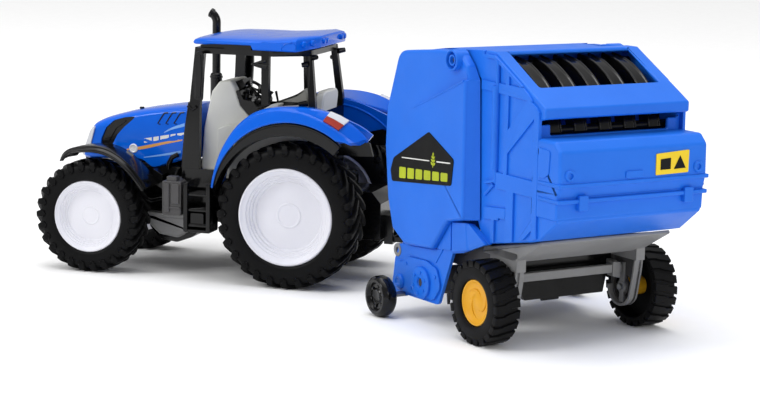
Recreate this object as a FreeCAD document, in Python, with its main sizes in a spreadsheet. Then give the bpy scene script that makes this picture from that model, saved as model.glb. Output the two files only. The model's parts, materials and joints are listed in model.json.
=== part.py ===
"""Toy tractor with a hitched round baler, 1:24 class, in millimetres, +Z up.

Two vehicles share one frame. The tractor drives towards -Y with its left side at +X. The baler
hangs on the tractor's rear hitch and is turned about it by the angle yaw. Each vehicle has a
modelling frame of its own, the same way round: x to its left, y to its back, z up from the
ground, with the origin under its rear axle (tractor) or its axle (baler).
"""
import FreeCAD, Part
import math
import os
import re

import Sketcher
from FreeCAD import Placement, Rotation, Vector

SIZES = {
    # places: row origin to tractor origin, hitch pin, hitch pin to baler axle, turn of the baler
    "origin_x": -55.2, "origin_y": -40.6, "hitch_y": 55.6, "towbar_reach": 142.5, "yaw": -41.9,
    # running fits, axles and walls
    "play": 0.05, "axle_r": 1.6, "wall": 2,
    # tractor wheels
    "wheelbase": 116, "rear_r": 39, "rear_rim_r": 26.3, "rear_width": 24, "rear_out": 49.5,
    "front_r": 31, "front_rim_r": 19.8, "front_width": 19, "front_out": 45.5,
    # tractor body: half widths and levels
    "frame_half": 15, "deck_z": 50, "floor_z": 54, "sill_z": 60, "cab_half": 36, "tub_half": 25.5,
    "cab_top": 125.8, "roof_edge": 128.3, "roof_top": 132, "roof_half": 36.8,
    "fender_out": 50, "fender_in": 26,
    "arch_y": 2.5, "arch_z": 46.5, "arch_r": 43.5, "flare_y": 0.8, "flare_z": 40.5, "flare_r": 42.1,
    "exhaust_x": -35.5, "exhaust_y": -72, "exhaust_r": 2.4, "bend_r": 6, "bend_z": 133.6,
    "steer_r": 8.6, "steer_y": -33.4, "steer_z": 98.6, "hitch_z": 29, "pin_r": 1.8,
    # baler: half widths
    "shield_out": 50, "shield_in": 43, "gate_half": 42, "lug_in": 39.5, "shell_half": 38.6,
    "pivot_y": -29.1, "pivot_z": 133.3, "pivot_r": 2, "boss_r": 4.8,
    "baler_r": 20.5, "baler_rim_r": 11.2, "baler_width": 13.8, "baler_out": 54,
    "gauge_r": 10.4, "gauge_width": 8, "gauge_out": 63.9, "gauge_y": -73.8, "gauge_pin_r": 1.4,
    "reel_y": -57.1, "reel_z": 19.5, "reel_r": 13, "pickup_out": 47, "pickup_in": 44.4,
    "bracket_out": 38, "bracket_in": 33, "belly_half": 27,
}

doc = FreeCAD.newDocument("toy_tractor_and_baler")
sheet = doc.addObject("Spreadsheet::Sheet", "dims")
for row, (alias, size) in enumerate(SIZES.items(), 1):
    sheet.set(f"A{row}", alias)
    sheet.set(f"B{row}", str(size))
    sheet.setAlias(f"B{row}", alias)
doc.recompute()

SIDES = {"left": 1, "right": -1}
PLANES = {"side": "YZ_Plane", "front": "XZ_Plane", "plan": "XY_Plane"}


# ---- small helpers: expressions, bodies, outlines, features ----

def bound(value):
    """A number or a formula in the sheet's words, as a FreeCAD expression."""
    return re.sub(r"[a-z][a-z_]*", lambda word: f"dims.{word[0]}" if word[0] in SIZES else word[0],
                  str(value))


def number(value):
    """The formula's present value."""
    return float(sheet.evalExpression(bound(value)))


def less(value, amount):
    return f"({value})-({amount})"


def new_body(node, vehicle="tractor", y="0", z="0"):
    """A body whose origin is (0, y, z) of its vehicle's modelling frame."""
    part = doc.addObject("PartDesign::Body", "Body_" + node)
    part.Label = node
    if vehicle == "tractor":
        base = ("origin_x", f"origin_y+{y}", z)
    else:
        part.Placement = Placement(Vector(), Rotation(Vector(0, 0, 1), SIZES["yaw"]))
        part.setExpression("Placement.Rotation.Angle", bound("yaw"))
        base = (f"origin_x-(towbar_reach+{y})*sin(yaw)",
                f"origin_y+hitch_y+(towbar_reach+{y})*cos(yaw)", z)
    for axis, value in zip("xyz", base):
        part.setExpression(f"Placement.Base.{axis}", bound(value))
    return part


def new_sketch(part, view, height="0"):
    sketch = part.newObject("Sketcher::SketchObject", f"{part.Label}_sketch")
    plane = next(item for item in part.Origin.OriginFeatures if item.Role == PLANES[view])
    sketch.AttachmentSupport = [(plane, "")]
    sketch.MapMode = "FlatFace"
    sketch.setExpression("AttachmentOffset.Base.z", bound(height))
    return sketch


def edge(start, end, bend):
    """A line, or an arc of radius |bend| that turns left (bend > 0) or right (bend < 0)."""
    if bend == 0:
        return Part.LineSegment(start, end)
    chord = end - start
    across = Vector(-chord.y, chord.x, 0).normalize()
    rise = math.sqrt(max(bend * bend - chord.Length ** 2 / 4, 0)) * (1 if bend > 0 else -1)
    centre = start + chord * 0.5 + across * rise
    first, last = (start, end) if bend > 0 else (end, start)
    angles = [math.atan2(point.y - centre.y, point.x - centre.x) for point in (first, last)]
    return Part.ArcOfCircle(Part.Circle(centre, Vector(0, 0, 1), abs(bend)), *angles)


def outline(sketch, corners):
    """A closed outline. A corner is (u, v), or (u, v, bend) where an arc leads to the next one."""
    corners = [(*corner, 0)[:3] for corner in corners]
    points = [Vector(number(u), number(v), 0) for u, v, _ in corners]
    bends = [number(bend) for _, _, bend in corners]
    count = len(corners)
    first_geometry = sketch.GeometryCount
    for index in range(count):
        sketch.addGeometry(edge(points[index], points[(index + 1) % count], bends[index]), False)
    for index in range(count):
        here = first_geometry + index
        after = first_geometry + (index + 1) % count
        start = 1 if bends[index] >= 0 else 2
        next_start = 1 if bends[(index + 1) % count] >= 0 else 2
        sketch.addConstraint(Sketcher.Constraint("Coincident", here, 3 - start, after, next_start))
        for kind, value in (("DistanceX", corners[index][0]), ("DistanceY", corners[index][1])):
            fix(sketch, (kind, -1, 1, here, start), value)
        if bends[index]:
            size = corners[index][2]
            fix(sketch, ("Radius", here), size if bends[index] > 0 else f"-({size})")


def fix(sketch, constraint, value):
    index = sketch.addConstraint(Sketcher.Constraint(*constraint, number(value)))
    sketch.setExpression(f"Constraints[{index}]", bound(value))


def ring(sketch, u, v, radius):
    """A circle of the sketch, centred on (u, v)."""
    centre = Vector(number(u), number(v), 0)
    index = sketch.addGeometry(Part.Circle(centre, Vector(0, 0, 1), number(radius)), False)
    fix(sketch, ("Radius", index), radius)
    fix(sketch, ("DistanceX", -1, 1, index, 3), u)
    fix(sketch, ("DistanceY", -1, 1, index, 3), v)


def extrude(part, sketch, length, cut):
    """Pad or pocket the sketch along its plane's normal."""
    before = part.Shape.Volume if cut else 0
    feature = part.newObject("PartDesign::Pocket" if cut else "PartDesign::Pad", f"{part.Label}_extrude")
    feature.Profile = sketch
    feature.setExpression("Length", bound(length))
    feature.Reversed = cut
    doc.recompute()
    if cut and before - feature.Shape.Volume < 0.01:
        raise ValueError(f"{part.Label}: the pocket cuts nothing")


def levels(view, low, high):
    """Sketch height and length of a pad from low to high; a front sketch looks along -y."""
    return (f"-({high})" if view == "front" else low), less(high, low)


def prism(part, view, corners, low, high, cut=False):
    """Extrude an outline from low to high along the view's own axis."""
    height, length = levels(view, low, high)
    sketch = new_sketch(part, view, height)
    outline(sketch, corners)
    extrude(part, sketch, length, cut)


def bar(part, view, u, v, radius, low, high, cut=False):
    """A round bar, or a round hole, along the view's own axis."""
    height, length = levels(view, low, high)
    sketch = new_sketch(part, view, height)
    ring(sketch, u, v, radius)
    extrude(part, sketch, length, cut)


def block(part, x_low, x_high, y_low, y_high, z_low, z_high, cut=False):
    """A box, given by its limits."""
    corners = [(x_low, y_low), (x_high, y_low), (x_high, y_high), (x_low, y_high)]
    prism(part, "plan", corners, z_low, z_high, cut)


def turned(part, corners):
    """Revolve (x, radius) corners about the body's x axis."""
    sketch = new_sketch(part, "plan")
    outline(sketch, corners)
    feature = part.newObject("PartDesign::Revolution", f"{part.Label}_turned")
    feature.Profile = sketch
    feature.ReferenceAxis = (sketch, ["H_Axis"])
    feature.Angle = 360


def loft(part, view, sections, cut=False):
    """A ruled loft through (height, corners) sections along the view's own axis."""
    kind = "PartDesign::SubtractiveLoft" if cut else "PartDesign::AdditiveLoft"
    sketches = []
    for height, corners in sections:
        sketches.append(new_sketch(part, view, f"-({height})" if view == "front" else height))
        outline(sketches[-1], corners)
    feature = part.newObject(kind, f"{part.Label}_loft")
    feature.Profile = sketches[0]
    feature.Sections = sketches[1:]
    feature.Ruled = True
    doc.recompute()


def strut(part, foot, head):
    """A straight post between two level rectangles (x low, x high, y low, y high, z)."""
    def section(end):
        x_low, x_high, y_low, y_high, z = end
        return z, [(x_low, y_low), (x_high, y_low), (x_high, y_high), (x_low, y_high)]
    loft(part, "plan", [section(foot), section(head)])


def span(side, low, high):
    """The limits low..high of a left-hand piece, mirrored when side is -1."""
    return (low, high) if side > 0 else (f"-({high})", f"-({low})")


def flipped(side, corners):
    """A left-hand outline in (x, ...), mirrored when side is -1."""
    return [(f"{side}*({u})", v, *(f"{side}*({bend})" for bend in rest)) for u, v, *rest in corners]


def polar(centre, radius, degrees):
    """A point of a circle in the side view, from its angle above +y."""
    u, v = centre
    return f"{u}+({radius})*cos({degrees})", f"{v}+({radius})*sin({degrees})"


# ---- wheels ----

def tyre(node, vehicle, side, y, names, shoulder):
    """A solid tyre with bevelled shoulders, between its rim seat and its tread."""
    outer, width, radius, seat = names
    inner = less(outer, width)
    part = new_body(node, vehicle, y, radius)
    turned(part, flipped(side, [
        (inner, seat), (inner, less(radius, shoulder)), (f"{inner}+{shoulder}", radius),
        (less(outer, shoulder), radius), (outer, less(radius, shoulder)), (outer, seat)]))


def rim(node, vehicle, side, y, names, axle, dish, hub_inset):
    """A dished rim with a hub; the blind bore runs on the fixed axle."""
    outer, width, radius, seat = names
    inner = less(outer, width)
    bore = f"{axle}+play"
    part = new_body(node, vehicle, y, radius)
    face = less(outer, dish)
    turned(part, flipped(side, [
        (face, 0), (face, f"{seat}*0.42"), (less(face, 1.2), f"{seat}*0.5"),
        (less(face, 1.2), f"{seat}*0.8"), (less(outer, 0.8), f"{seat}-2"), (less(outer, 0.8), seat),
        (f"{inner}+0.8", seat), (f"{inner}+0.8", f"{seat}-1.8"), (less(face, 4), f"{seat}-3.2"),
        (less(face, 4), f"{axle}+3"), (f"{inner}+{hub_inset}", f"{axle}+3"),
        (f"{inner}+{hub_inset}", bore), (less(face, 2.4), bore), (less(face, 2.4), 0)]))


def tractor_wheels():
    ends = {"front": ("-wheelbase", ("front_out", "front_width", "front_r", "front_rim_r"), 5),
            "rear": ("0", ("rear_out", "rear_width", "rear_r", "rear_rim_r"), 6)}
    for end, (y, names, dish) in ends.items():
        for side_name, side in SIDES.items():
            tyre(f"tyre_{end}_{side_name}", "tractor", side, y, names, 3.5)
            rim(f"rim_{end}_{side_name}", "tractor", side, y, names, "axle_r", dish, 0.4)
        reach = f"{names[0]}-{dish}-2.7"
        part = new_body(f"{end}_axle", "tractor", y, names[2])
        bar(part, "side", 0, 0, "axle_r", f"-({reach})", reach)


def baler_wheels():
    names = ("baler_out", "baler_width", "baler_r", "baler_rim_r")
    gauge = ("gauge_out", "gauge_width", "gauge_r", "gauge_r*0.55")
    stubs = new_body("stub_axles", "baler", "0", "baler_r")
    pins = new_body("gauge_pins", "baler", "gauge_y", "gauge_r")
    for side_name, side in SIDES.items():
        tyre(f"baler_tyre_{side_name}", "baler", side, "0", names, 2)
        rim(f"baler_rim_{side_name}", "baler", side, "0", names, "axle_r", 2.4, 0.4)
        wheel = new_body(f"gauge_wheel_{side_name}", "baler", "gauge_y", "gauge_r")
        outer, width, radius, _ = gauge
        inner = less(outer, width)
        turned(wheel, flipped(side, [
            (less(outer, 0.6), 0), (less(outer, 0.6), 3.6), (less(outer, 1.6), 4.2), (less(outer, 1.6), 6),
            (outer, 7), (outer, less(radius, 1.2)), (less(outer, 1.2), radius), (f"{inner}+1.2", radius),
            (inner, less(radius, 1.2)), (inner, "gauge_pin_r+play"),
            (less(outer, 2.6), "gauge_pin_r+play"), (less(outer, 2.6), 0)]))
        bar(stubs, "side", 0, 0, "axle_r", *span(side, "bracket_in", "baler_out-5.1"))
        bar(pins, "side", 0, 0, "gauge_pin_r", *span(side, "pickup_in", "gauge_out-2.9"))


# ---- tractor ----

def chassis():
    part = new_body("chassis")
    prism(part, "side", [(-131, 38), (-131, 55.4), (-66, 55.4), (-66, "deck_z"), (38, "deck_z"),
                         (43, 44), (43, 24), (20, 24), (-56, 28), (-70, 31), (-92, 31), (-104, 27),
                         (-126, 30)],
          "-frame_half", "frame_half")
    bar(part, "side", 0, "rear_r", 8, "-rear_out+rear_width+0.8", "rear_out-rear_width-0.8")
    bar(part, "side", "-wheelbase", "front_r", 6, "-front_out+front_width+0.8",
        "front_out-front_width-0.8")
    bar(part, "side", 0, "rear_r", "axle_r", -30, 30, cut=True)
    bar(part, "side", "-wheelbase", "front_r", "axle_r", -30, 30, cut=True)


def engine_sump():
    part = new_body("engine_sump")
    for side in SIDES.values():
        low, high = span(side, 2, 21)
        prism(part, "side", [(-91, 24), (-91, 31), (-71, 31), (-71, 22), (-74, 18), (-86, 18)], low, high)


def hood_section(half, low, shoulder, top, skin):
    """Front-view outline of the hood, or of its hollow when skin is the wall thickness."""
    crown = half * 0.6
    return [(skin - half, low), (half - skin, low), (half - skin, shoulder), (crown - skin / 2, top - skin),
            (skin / 2 - crown, top - skin), (skin - half, shoulder)]


def hood():
    part = new_body("hood")
    ribs = [(-63, 20, 59, 83, 92), (-112, 18, 56, 75, 83.6), (-121, 17, 55.4, 72, 80.4),
            (-128.4, 15.5, 55.4, 67, 74.4), (-132.6, 13, 55.4, 61, 66)]
    loft(part, "front", [(y, hood_section(half, low, shoulder, top, 0))
                         for y, half, low, shoulder, top in ribs])
    loft(part, "front", [(y + (0.5 if y == -63 else 1.6), hood_section(half, low - 0.5, shoulder, top, 1.6))
                         for y, half, low, shoulder, top in ribs], cut=True)
    for side in SIDES.values():
        prism(part, "side", INTAKE, *span(side, 15, 21), cut=True)


INTAKE = [(-104, 78), (-115.6, 78), (-118.8, 67.9), (-112.2, 67.1), (-107, 72)]


def side_grilles():
    part = new_body("side_grilles")
    for side in SIDES.values():
        prism(part, "side", INTAKE, *span(side, 15.2, 18.2))


def nose_pieces():
    grille = new_body("grille")
    prism(grille, "front", [(-8.5, 57), (8.5, 57), (7.5, 64.5), (-7.5, 64.5)], -133.6, -132.6)
    lamps = new_body("headlights")
    for side in SIDES.values():
        corners = flipped(side, [(9.4, 58.5), (13, 58.5), (12.6, 62.5), (8.8, 64.4)])
        prism(lamps, "front", corners, -133.4, -132.6)


def cab_frame():
    part = new_body("cab_frame")
    prism(part, "plan", [("-cab_half", -62), ("cab_half", -62), ("cab_half", -46), ("tub_half", -44),
                         ("tub_half", 8.5), ("-tub_half", 8.5), ("-tub_half", -44), ("-cab_half", -46)],
          "deck_z", "floor_z")
    for side in SIDES.values():
        x_low, x_high = span(side, "cab_half-2.4", "cab_half")
        block(part, x_low, x_high, -62, -46, "floor_z", "sill_z")
        foot, waist = span(side, 32.4, 36), span(side, 32, 35.4)
        strut(part, (*foot, -62, -54, "floor_z"), (*waist, -59.8, -53.8, 95))
        strut(part, (*waist, -59.8, -53.8, 95), (*span(side, 29.4, 33), -57.6, -52.2, "cab_top"))
        middle_foot, middle_head = span(side, 33.4, 36.6), span(side, 32.6, 35.6)
        strut(part, (*middle_foot, -18.2, -14.2, 97), (*middle_head, -18.8, -14.4, "cab_top"))
        back, back_head = span(side, 22.3, "tub_half"), span(side, 19.6, 22.6)
        strut(part, (*back, 4.6, 8.5, "floor_z"), (*back, 4.6, 8.5, 97))
        strut(part, (*back, 4.6, 8.5, 97), (*back_head, 1.6, 5, "cab_top"))
    block(part, "-tub_half", "tub_half", 6.7, 8.5, "floor_z", 92)
    rail = [(-33, -57.6), (33, -57.6), (35.6, -50), (35.6, -12), (22.6, 5), (-22.6, 5), (-35.6, -12),
            (-35.6, -50)]
    hole = [(-29.4, -52.2), (29.4, -52.2), (32.4, -50), (32.4, -13), (20, 1.6), (-20, 1.6), (-32.4, -13),
            (-32.4, -50)]
    prism(part, "plan", rail, "cab_top-3", "cab_top")
    prism(part, "plan", hole, "cab_top-3", "cab_top", cut=True)
    prism(part, "side", [(-54.5, "cab_top"), (-54.5, 127.2), (-43, "roof_edge"), (-24.6, "roof_edge"),
                         (-24.6, "cab_top")], -33, 33)


def cab_roof():
    """One moulding: a thin brow in front, side skirts and a raised tail with bevelled corners."""
    part = new_body("cab_roof")
    prism(part, "side", [(-58.7, 128), (-57.6, 130.2), (-52, 131.4), (-6, "roof_top"), (4, "roof_top+1.6"),
                         (9.9, "roof_top+1.8"), (9.9, 127.6), (2, "cab_top"), (-23.5, "cab_top"),
                         (-24.5, "roof_edge"), (-43, "roof_edge"), (-55.5, 127.2)], "-roof_half", "roof_half")
    for side in SIDES.values():
        tail = [("roof_half+1", 0), ("roof_half+1", 11), (21, 11), (21, 9.9), ("roof_half", 0)]
        prism(part, "plan", flipped(side, tail), 120, 140, cut=True)
        brow = [("roof_half", -50), (32, -58.7), (32, -60), ("roof_half+1", -60), ("roof_half+1", -50)]
        prism(part, "plan", flipped(side, brow), 120, 140, cut=True)


def cab_interior():
    """Grey tub: floor, cowl and the two inner wheel-arch walls with their shelves."""
    part = new_body("cab_interior")
    block(part, "0.2-tub_half", "tub_half-0.2", -58, 4.4, "floor_z", "floor_z+2")
    prism(part, "side", [(-62, "floor_z"), (-60, 80), (-55.5, 101), (-51, 105.6), (-44, 106.6),
                         (-41, 101), (-38, 92), (-46, 80), (-48, "floor_z")], -10, 14)
    wall = [(-41.4, "floor_z"), (-39.6, 62), (-32, 79), (-25, 88.4), (-15.5, 94), (4.4, 96), (4.4, "floor_z")]
    for side in SIDES.values():
        prism(part, "side", wall, *span(side, "tub_half-2.5", "tub_half-0.3"))
    block(part, "0.4-tub_half", "-14", -30, 4.4, "floor_z", 92)


def cab_fittings():
    seat = new_body("seat")
    block(seat, -11, 11, -20, 6.7, "floor_z+2", 72)
    block(seat, -12.5, 12.5, -20, 3, 72, 79)
    prism(seat, "side", [(1, 72), (4, 103), (7.8, 103), (6.6, 91.9), (6.6, 72)], -12.5, 12.5)
    desk = new_body("dashboard")
    prism(desk, "side", [(-40.8, 100.8), (-37.9, 92), (-43.2, 84), (-36, 83), (-28.2, 91.2),
                         (-39.6, 100.9)], -9, 13)
    wheel = new_body("steering_wheel", "tractor", "steer_y", "steer_z")
    wheel_tilt(wheel)
    stalk = new_body("steering_column", "tractor", "steer_y", "steer_z")
    wheel_tilt(stalk)
    bar(stalk, "plan", 0, 0, 0.8, -2.1, 3.2)
    bar(wheel, "plan", 0, 0, 1.8, 1, 2.4)
    bar(wheel, "plan", 0, 0, "0.8+play", 1, 2.4, cut=True)
    for turn in (90, 210, 330):
        reach = SIZES["steer_r"] - 0.9
        corners = [spoke_corner(turn, 1.2, -0.6), spoke_corner(turn, reach, -0.6),
                   spoke_corner(turn, reach, 0.6), spoke_corner(turn, 1.2, 0.6)]
        prism(wheel, "plan", corners, 1.2, 2.2)
    sketch = new_sketch(wheel, "front")
    ring(sketch, "steer_r-0.9", 1.7, 0.9)
    rounded = wheel.newObject("PartDesign::Revolution", "steering_wheel_ring")
    rounded.Profile = sketch
    rounded.ReferenceAxis = (sketch, ["V_Axis"])
    rounded.Angle = 360


def spoke_corner(turn, along, across):
    """A plan corner of a steering-wheel spoke that points along the angle turn."""
    reach, swing = math.radians(turn), math.radians(turn + 90)
    return (f"{along * math.cos(reach) + across * math.cos(swing):.3f}",
            f"{along * math.sin(reach) + across * math.sin(swing):.3f}")


def wheel_tilt(part):
    """Lean a body's z axis 40 degrees towards the driver, who sits at +y."""
    angle = part.Placement
    angle.Rotation = Rotation(Vector(1, 0, 0), -40)
    part.Placement = angle


def exhaust_stack():
    """Upright pipe whose end bends forward, on a foot beside the hood."""
    part = new_body("exhaust_stack", "tractor", "exhaust_y", "0")
    path = new_sketch(part, "side", "exhaust_x")
    bend_centre = Vector(-number("bend_r"), number("bend_z"), 0)
    circle = Part.Circle(bend_centre, Vector(0, 0, 1), number("bend_r"))
    path.addGeometry([Part.LineSegment(Vector(0, 60, 0), Vector(0, bend_centre.y, 0)),
                      Part.ArcOfCircle(circle, 0, 1.1)])
    path.addConstraint(Sketcher.Constraint("Tangent", 0, 2, 1, 1))
    fix(path, ("DistanceX", -1, 1, 0, 1), 0)
    fix(path, ("DistanceY", -1, 1, 0, 1), 60)
    fix(path, ("DistanceX", -1, 1, 1, 3), "-bend_r")
    fix(path, ("DistanceY", -1, 1, 1, 3), "bend_z")
    fix(path, ("Radius", 1), "bend_r")
    section = new_sketch(part, "plan", 60)
    ring(section, "exhaust_x", 0, "exhaust_r")
    pipe = part.newObject("PartDesign::AdditivePipe", "exhaust_pipe")
    pipe.Profile = section
    pipe.Spine = path
    doc.recompute()
    bar(part, "plan", "exhaust_x", 0, "exhaust_r+0.9", 62, 104)
    block(part, "exhaust_x-2", -20, -2.4, 2.4, 60, 66)


def mirrors():
    for side_name, side in SIDES.items():
        part = new_body(f"mirror_{side_name}")
        block(part, *span(side, 37.2, 39.8), -54.4, -50.6, 98, 124)
        for x, z in ((35.1, 100), (33.7, 120)):
            block(part, *span(side, x, 37.2), -54.2, -52.6, z, f"{z}+2.4")


def rear_fenders():
    centre = ("arch_y", "arch_z")
    crest = [(172, 45.4), (157, 45.8), (139, 48), (124, 50.7), (109, 52), (90, 51.3), (65, 53.6), (40, 56)]
    for side_name, side in SIDES.items():
        skin = new_body(f"rear_fender_{side_name}")
        outer = [polar(centre, radius, angle) for angle, radius in crest]
        for first, last, x_low in ((0, 7, "fender_in"), (6, 8, "fender_in+9")):
            inner = [polar(centre, f"{radius}-wall", angle) for angle, radius in reversed(crest[first:last])]
            prism(skin, "side", outer[first:last] + inner, *span(side, x_low, "fender_out"))
        start, end = polar(centre, "arch_r", 48), polar(centre, "arch_r", 172)
        lip = outer[:-1] + [polar(centre, 53, 44), (*start, "arch_r")]
        prism(skin, "side", lip + [end], *span(side, "fender_out-wall", "fender_out"))
        flare = new_body(f"fender_flare_{side_name}")
        low = ("flare_y", "flare_z")
        band = [(*polar(centre, "arch_r-0.6", 46), "arch_r-0.6"), polar(centre, "arch_r-0.6", 165),
                (*polar(low, "flare_r", 156.5), "-flare_r"), polar(low, "flare_r", 52)]
        prism(flare, "side", band, *span(side, 40, "fender_out"))


def front_fenders():
    """Arched mudguards over the front wheels, each on an arm from the chassis."""
    crest = [(-131, 63.8), (-122, 67.9), (-113, 69.3), (-104, 68.3), (-96, 64.5), (-88, 57.2), (-81.4, 49.3)]
    hollow = [(-83.6, 48.6), (-89.8, 55.8), (-97.4, 62.8), (-104.8, 66.4), (-113, 67.3), (-121.4, 66),
              (-129.6, 62.2)]
    for side_name, side in SIDES.items():
        part = new_body(f"front_fender_{side_name}")
        prism(part, "side", crest + hollow, *span(side, 25.4, "front_out"))
        prism(part, "side", [(-84, 48.6), (-84, 56), (-79, 54), (-79, 46)], *span(side, "frame_half", 27))


def cab_steps():
    for side_name, side in SIDES.items():
        part = new_body(f"step_{side_name}")
        x_low, x_high = span(side, 33, 46)
        block(part, *span(side, 33, 34.6), -58, -44, 27, "deck_z")
        for tread in range(3):
            block(part, x_low, x_high, -57.4, -44.6, f"28+{tread}*9.4", f"30+{tread}*9.4")
        for y in (-58, -45.6):
            block(part, x_low, x_high, y, f"{y}+1.6", 27, "deck_z")
        block(part, *span(side, "frame_half", 33), -55, -47, 36, 42)
    box = new_body("toolbox_left")
    block(box, "frame_half", 37, -72, -59.4, 42.2, "deck_z")
    block(box, 25, 44, -72, -59.4, 34.4, "deck_z")
    tank = new_body("fuel_tank_right")
    prism(tank, "front", flipped(-1, [("frame_half", 42), (24, 42), (24, 33), (28, 29), (40, 29), (44, 33),
                                     (44, 46), (40, "deck_z"), ("frame_half", "deck_z")]), -74, -59.4)


def tail_lamps():
    part = new_body("tail_lamps")
    for side in SIDES.values():
        prism(part, "side", [(22.4, 92.4), (27.4, 95), (31.4, 90.4), (25, 88.4)],
              *span(side, "fender_out", "fender_out+0.7"))


def rear_hitch():
    """Clevis under the tractor's tail, and the pin that the drawbar's eye turns on."""
    part = new_body("rear_hitch")
    block(part, -8, 8, 43, 48, "hitch_z-8", "hitch_z+8")
    for low in ("hitch_z-7", "hitch_z+4"):
        ear = [(-6, 47), (6, 47), (6, "hitch_y", 6), (0, "hitch_y+6", 6), (-6, "hitch_y")]
        prism(part, "plan", ear, low, f"{low}+3")
    bar(part, "plan", 0, "hitch_y", "pin_r", "hitch_z-8", "hitch_z+8", cut=True)
    pin = new_body("hitch_pin", "tractor", "hitch_y", "0")
    bar(pin, "plan", 0, 0, "pin_r", "hitch_z-9", "hitch_z+7")
    bar(pin, "plan", 0, 0, "pin_r+1.4", "hitch_z+7", "hitch_z+9.4")


# ---- baler ----

SHIELD = [(-18, 124.9), (-16.8, 55.5), (-30.8, 54.6), (-44.1, 38.7), (-69.7, 36.9), (-81, 43.2),
          (-83.5, 50.5), (-86.1, 58.6), (-89.3, 84.7), (-86.8, 105.5), (-78.8, 127.1), (-69.3, 134.2),
          (-46, 137.6), (-24, 137.6, -6), (-18, 131.6)]


def side_shields():
    for side_name, side in SIDES.items():
        part = new_body(f"side_shield_{side_name}", "baler")
        prism(part, "side", SHIELD, *span(side, "shield_in", "shield_out"))
        bar(part, "side", "pivot_y", "pivot_z", "boss_r", *span(side, "shield_out", "shield_out+0.8"))
        hole = span(side, "shield_in", "shield_out+0.8")
        bar(part, "side", "pivot_y", "pivot_z", "pivot_r", *hole, cut=True)


def baler_front_shell():
    """Front and top skin of the bale chamber; the rear part is narrower beside the gate's lugs."""
    part = new_body("baler_front_shell", "baler")
    front = [(-81, 43.4), (-83.5, 50.5), (-86.1, 58.6), (-89.2, 84.7), (-86.7, 105.5), (-78.8, 127),
             (-69.3, 134.1), (-46, 137.4), (-46, 135.4), (-68.6, 132.2), (-77.2, 125.8), (-84.7, 105),
             (-87.2, 84.7), (-84.2, 59), (-81.7, 51.2), (-79.3, 44.2)]
    prism(part, "side", front, "-shield_in", "shield_in")
    block(part, "-shell_half", "shell_half", -46.4, -20, 135.4, 137.4)
    block(part, "-shield_in", "shield_in", -79.4, -77.4, 38.6, 60)


def tailgate_outline(skin):
    """Side outline of the gate, or of its hollow when skin is the wall thickness."""
    return [(-16 if not skin else -17, f"134-{skin}"), (-12, f"139.3-{skin}"), (-3.5, f"139.3-{skin}"),
            (f"37.4-{skin}", f"116.8-{skin}"), (f"37.4-{skin}", f"112-{skin}"),
            (f"31-{skin}", f"110.2-{skin}"), (f"31-{skin}", f"100-{skin}"),
            (f"46-{skin}", f"100-{skin}"), (f"48.9-{skin}", 66),
            (34.9, f"55.2+{skin}"), (28.5, f"53.6+{skin}"), (-9.7, f"46.4+{skin}"),
            (-16 if not skin else -17, f"57+{skin}")]


def tailgate():
    part = new_body("tailgate", "baler")
    prism(part, "side", tailgate_outline(0), "-gate_half", "gate_half")
    prism(part, "side", tailgate_outline(2), "wall-gate_half", "gate_half-wall", cut=True)
    block(part, -26, 26, -17, 18, 44, 62, cut=True)
    window = [(-4.6, 141), (-1.4, 130), (20.4, 119), (23.4, 128)]
    prism(part, "side", window, -35, 35, cut=True)
    block(part, -34.2, 34.2, 28, 32, 103.4, 109.4, cut=True)
    for side in SIDES.values():
        lug = [(-14, 125), (-14, 139.3), ("pivot_y", "pivot_z+5", 5), ("pivot_y-5", "pivot_z", 5),
               ("pivot_y", "pivot_z-5")]
        prism(part, "side", lug, *span(side, "lug_in", "gate_half"))
        bar(part, "side", "pivot_y", "pivot_z", "pivot_r+play", *span(side, "lug_in", "gate_half"), cut=True)
    pins = new_body("tailgate_pins", "baler", "pivot_y", "pivot_z")
    for side in SIDES.values():
        bar(pins, "side", 0, 0, "pivot_r", *span(side, "lug_in-0.6", "shield_out+0.8"))


def rear_cover():
    """Moulded box across the back of the gate, with two feet on the lower wall."""
    part = new_body("rear_cover", "baler")
    prism(part, "side", [(32, 100), (32, 102.6), (46, 102.6), (50.4, 99.4), (51, 82.7), (49.4, 77), (48, 77),
                         (46, 100)], "-gate_half-0.8", "gate_half+0.8")


def belt_bars():
    """Curved black bale belts behind the gate's window and slot."""
    part = new_body("belt_bars", "baler")
    for index in range(5):
        x = f"-29+{index}*14.5"
        prism(part, "side", [(-10, 136), (0.6, 133), (20, 121.6, -26), (29, 104.2), (27.4, 103.6, 24),
                             (19, 119.8), (-0.4, 131), (-10, 134)], f"{x}-3.8", f"{x}+3.8")
    bar(part, "side", -8, 134, 1.6, "wall-gate_half", "gate_half-wall")
    bar(part, "side", 27.6, 104, 1.4, "wall-gate_half", "gate_half-wall")


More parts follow.
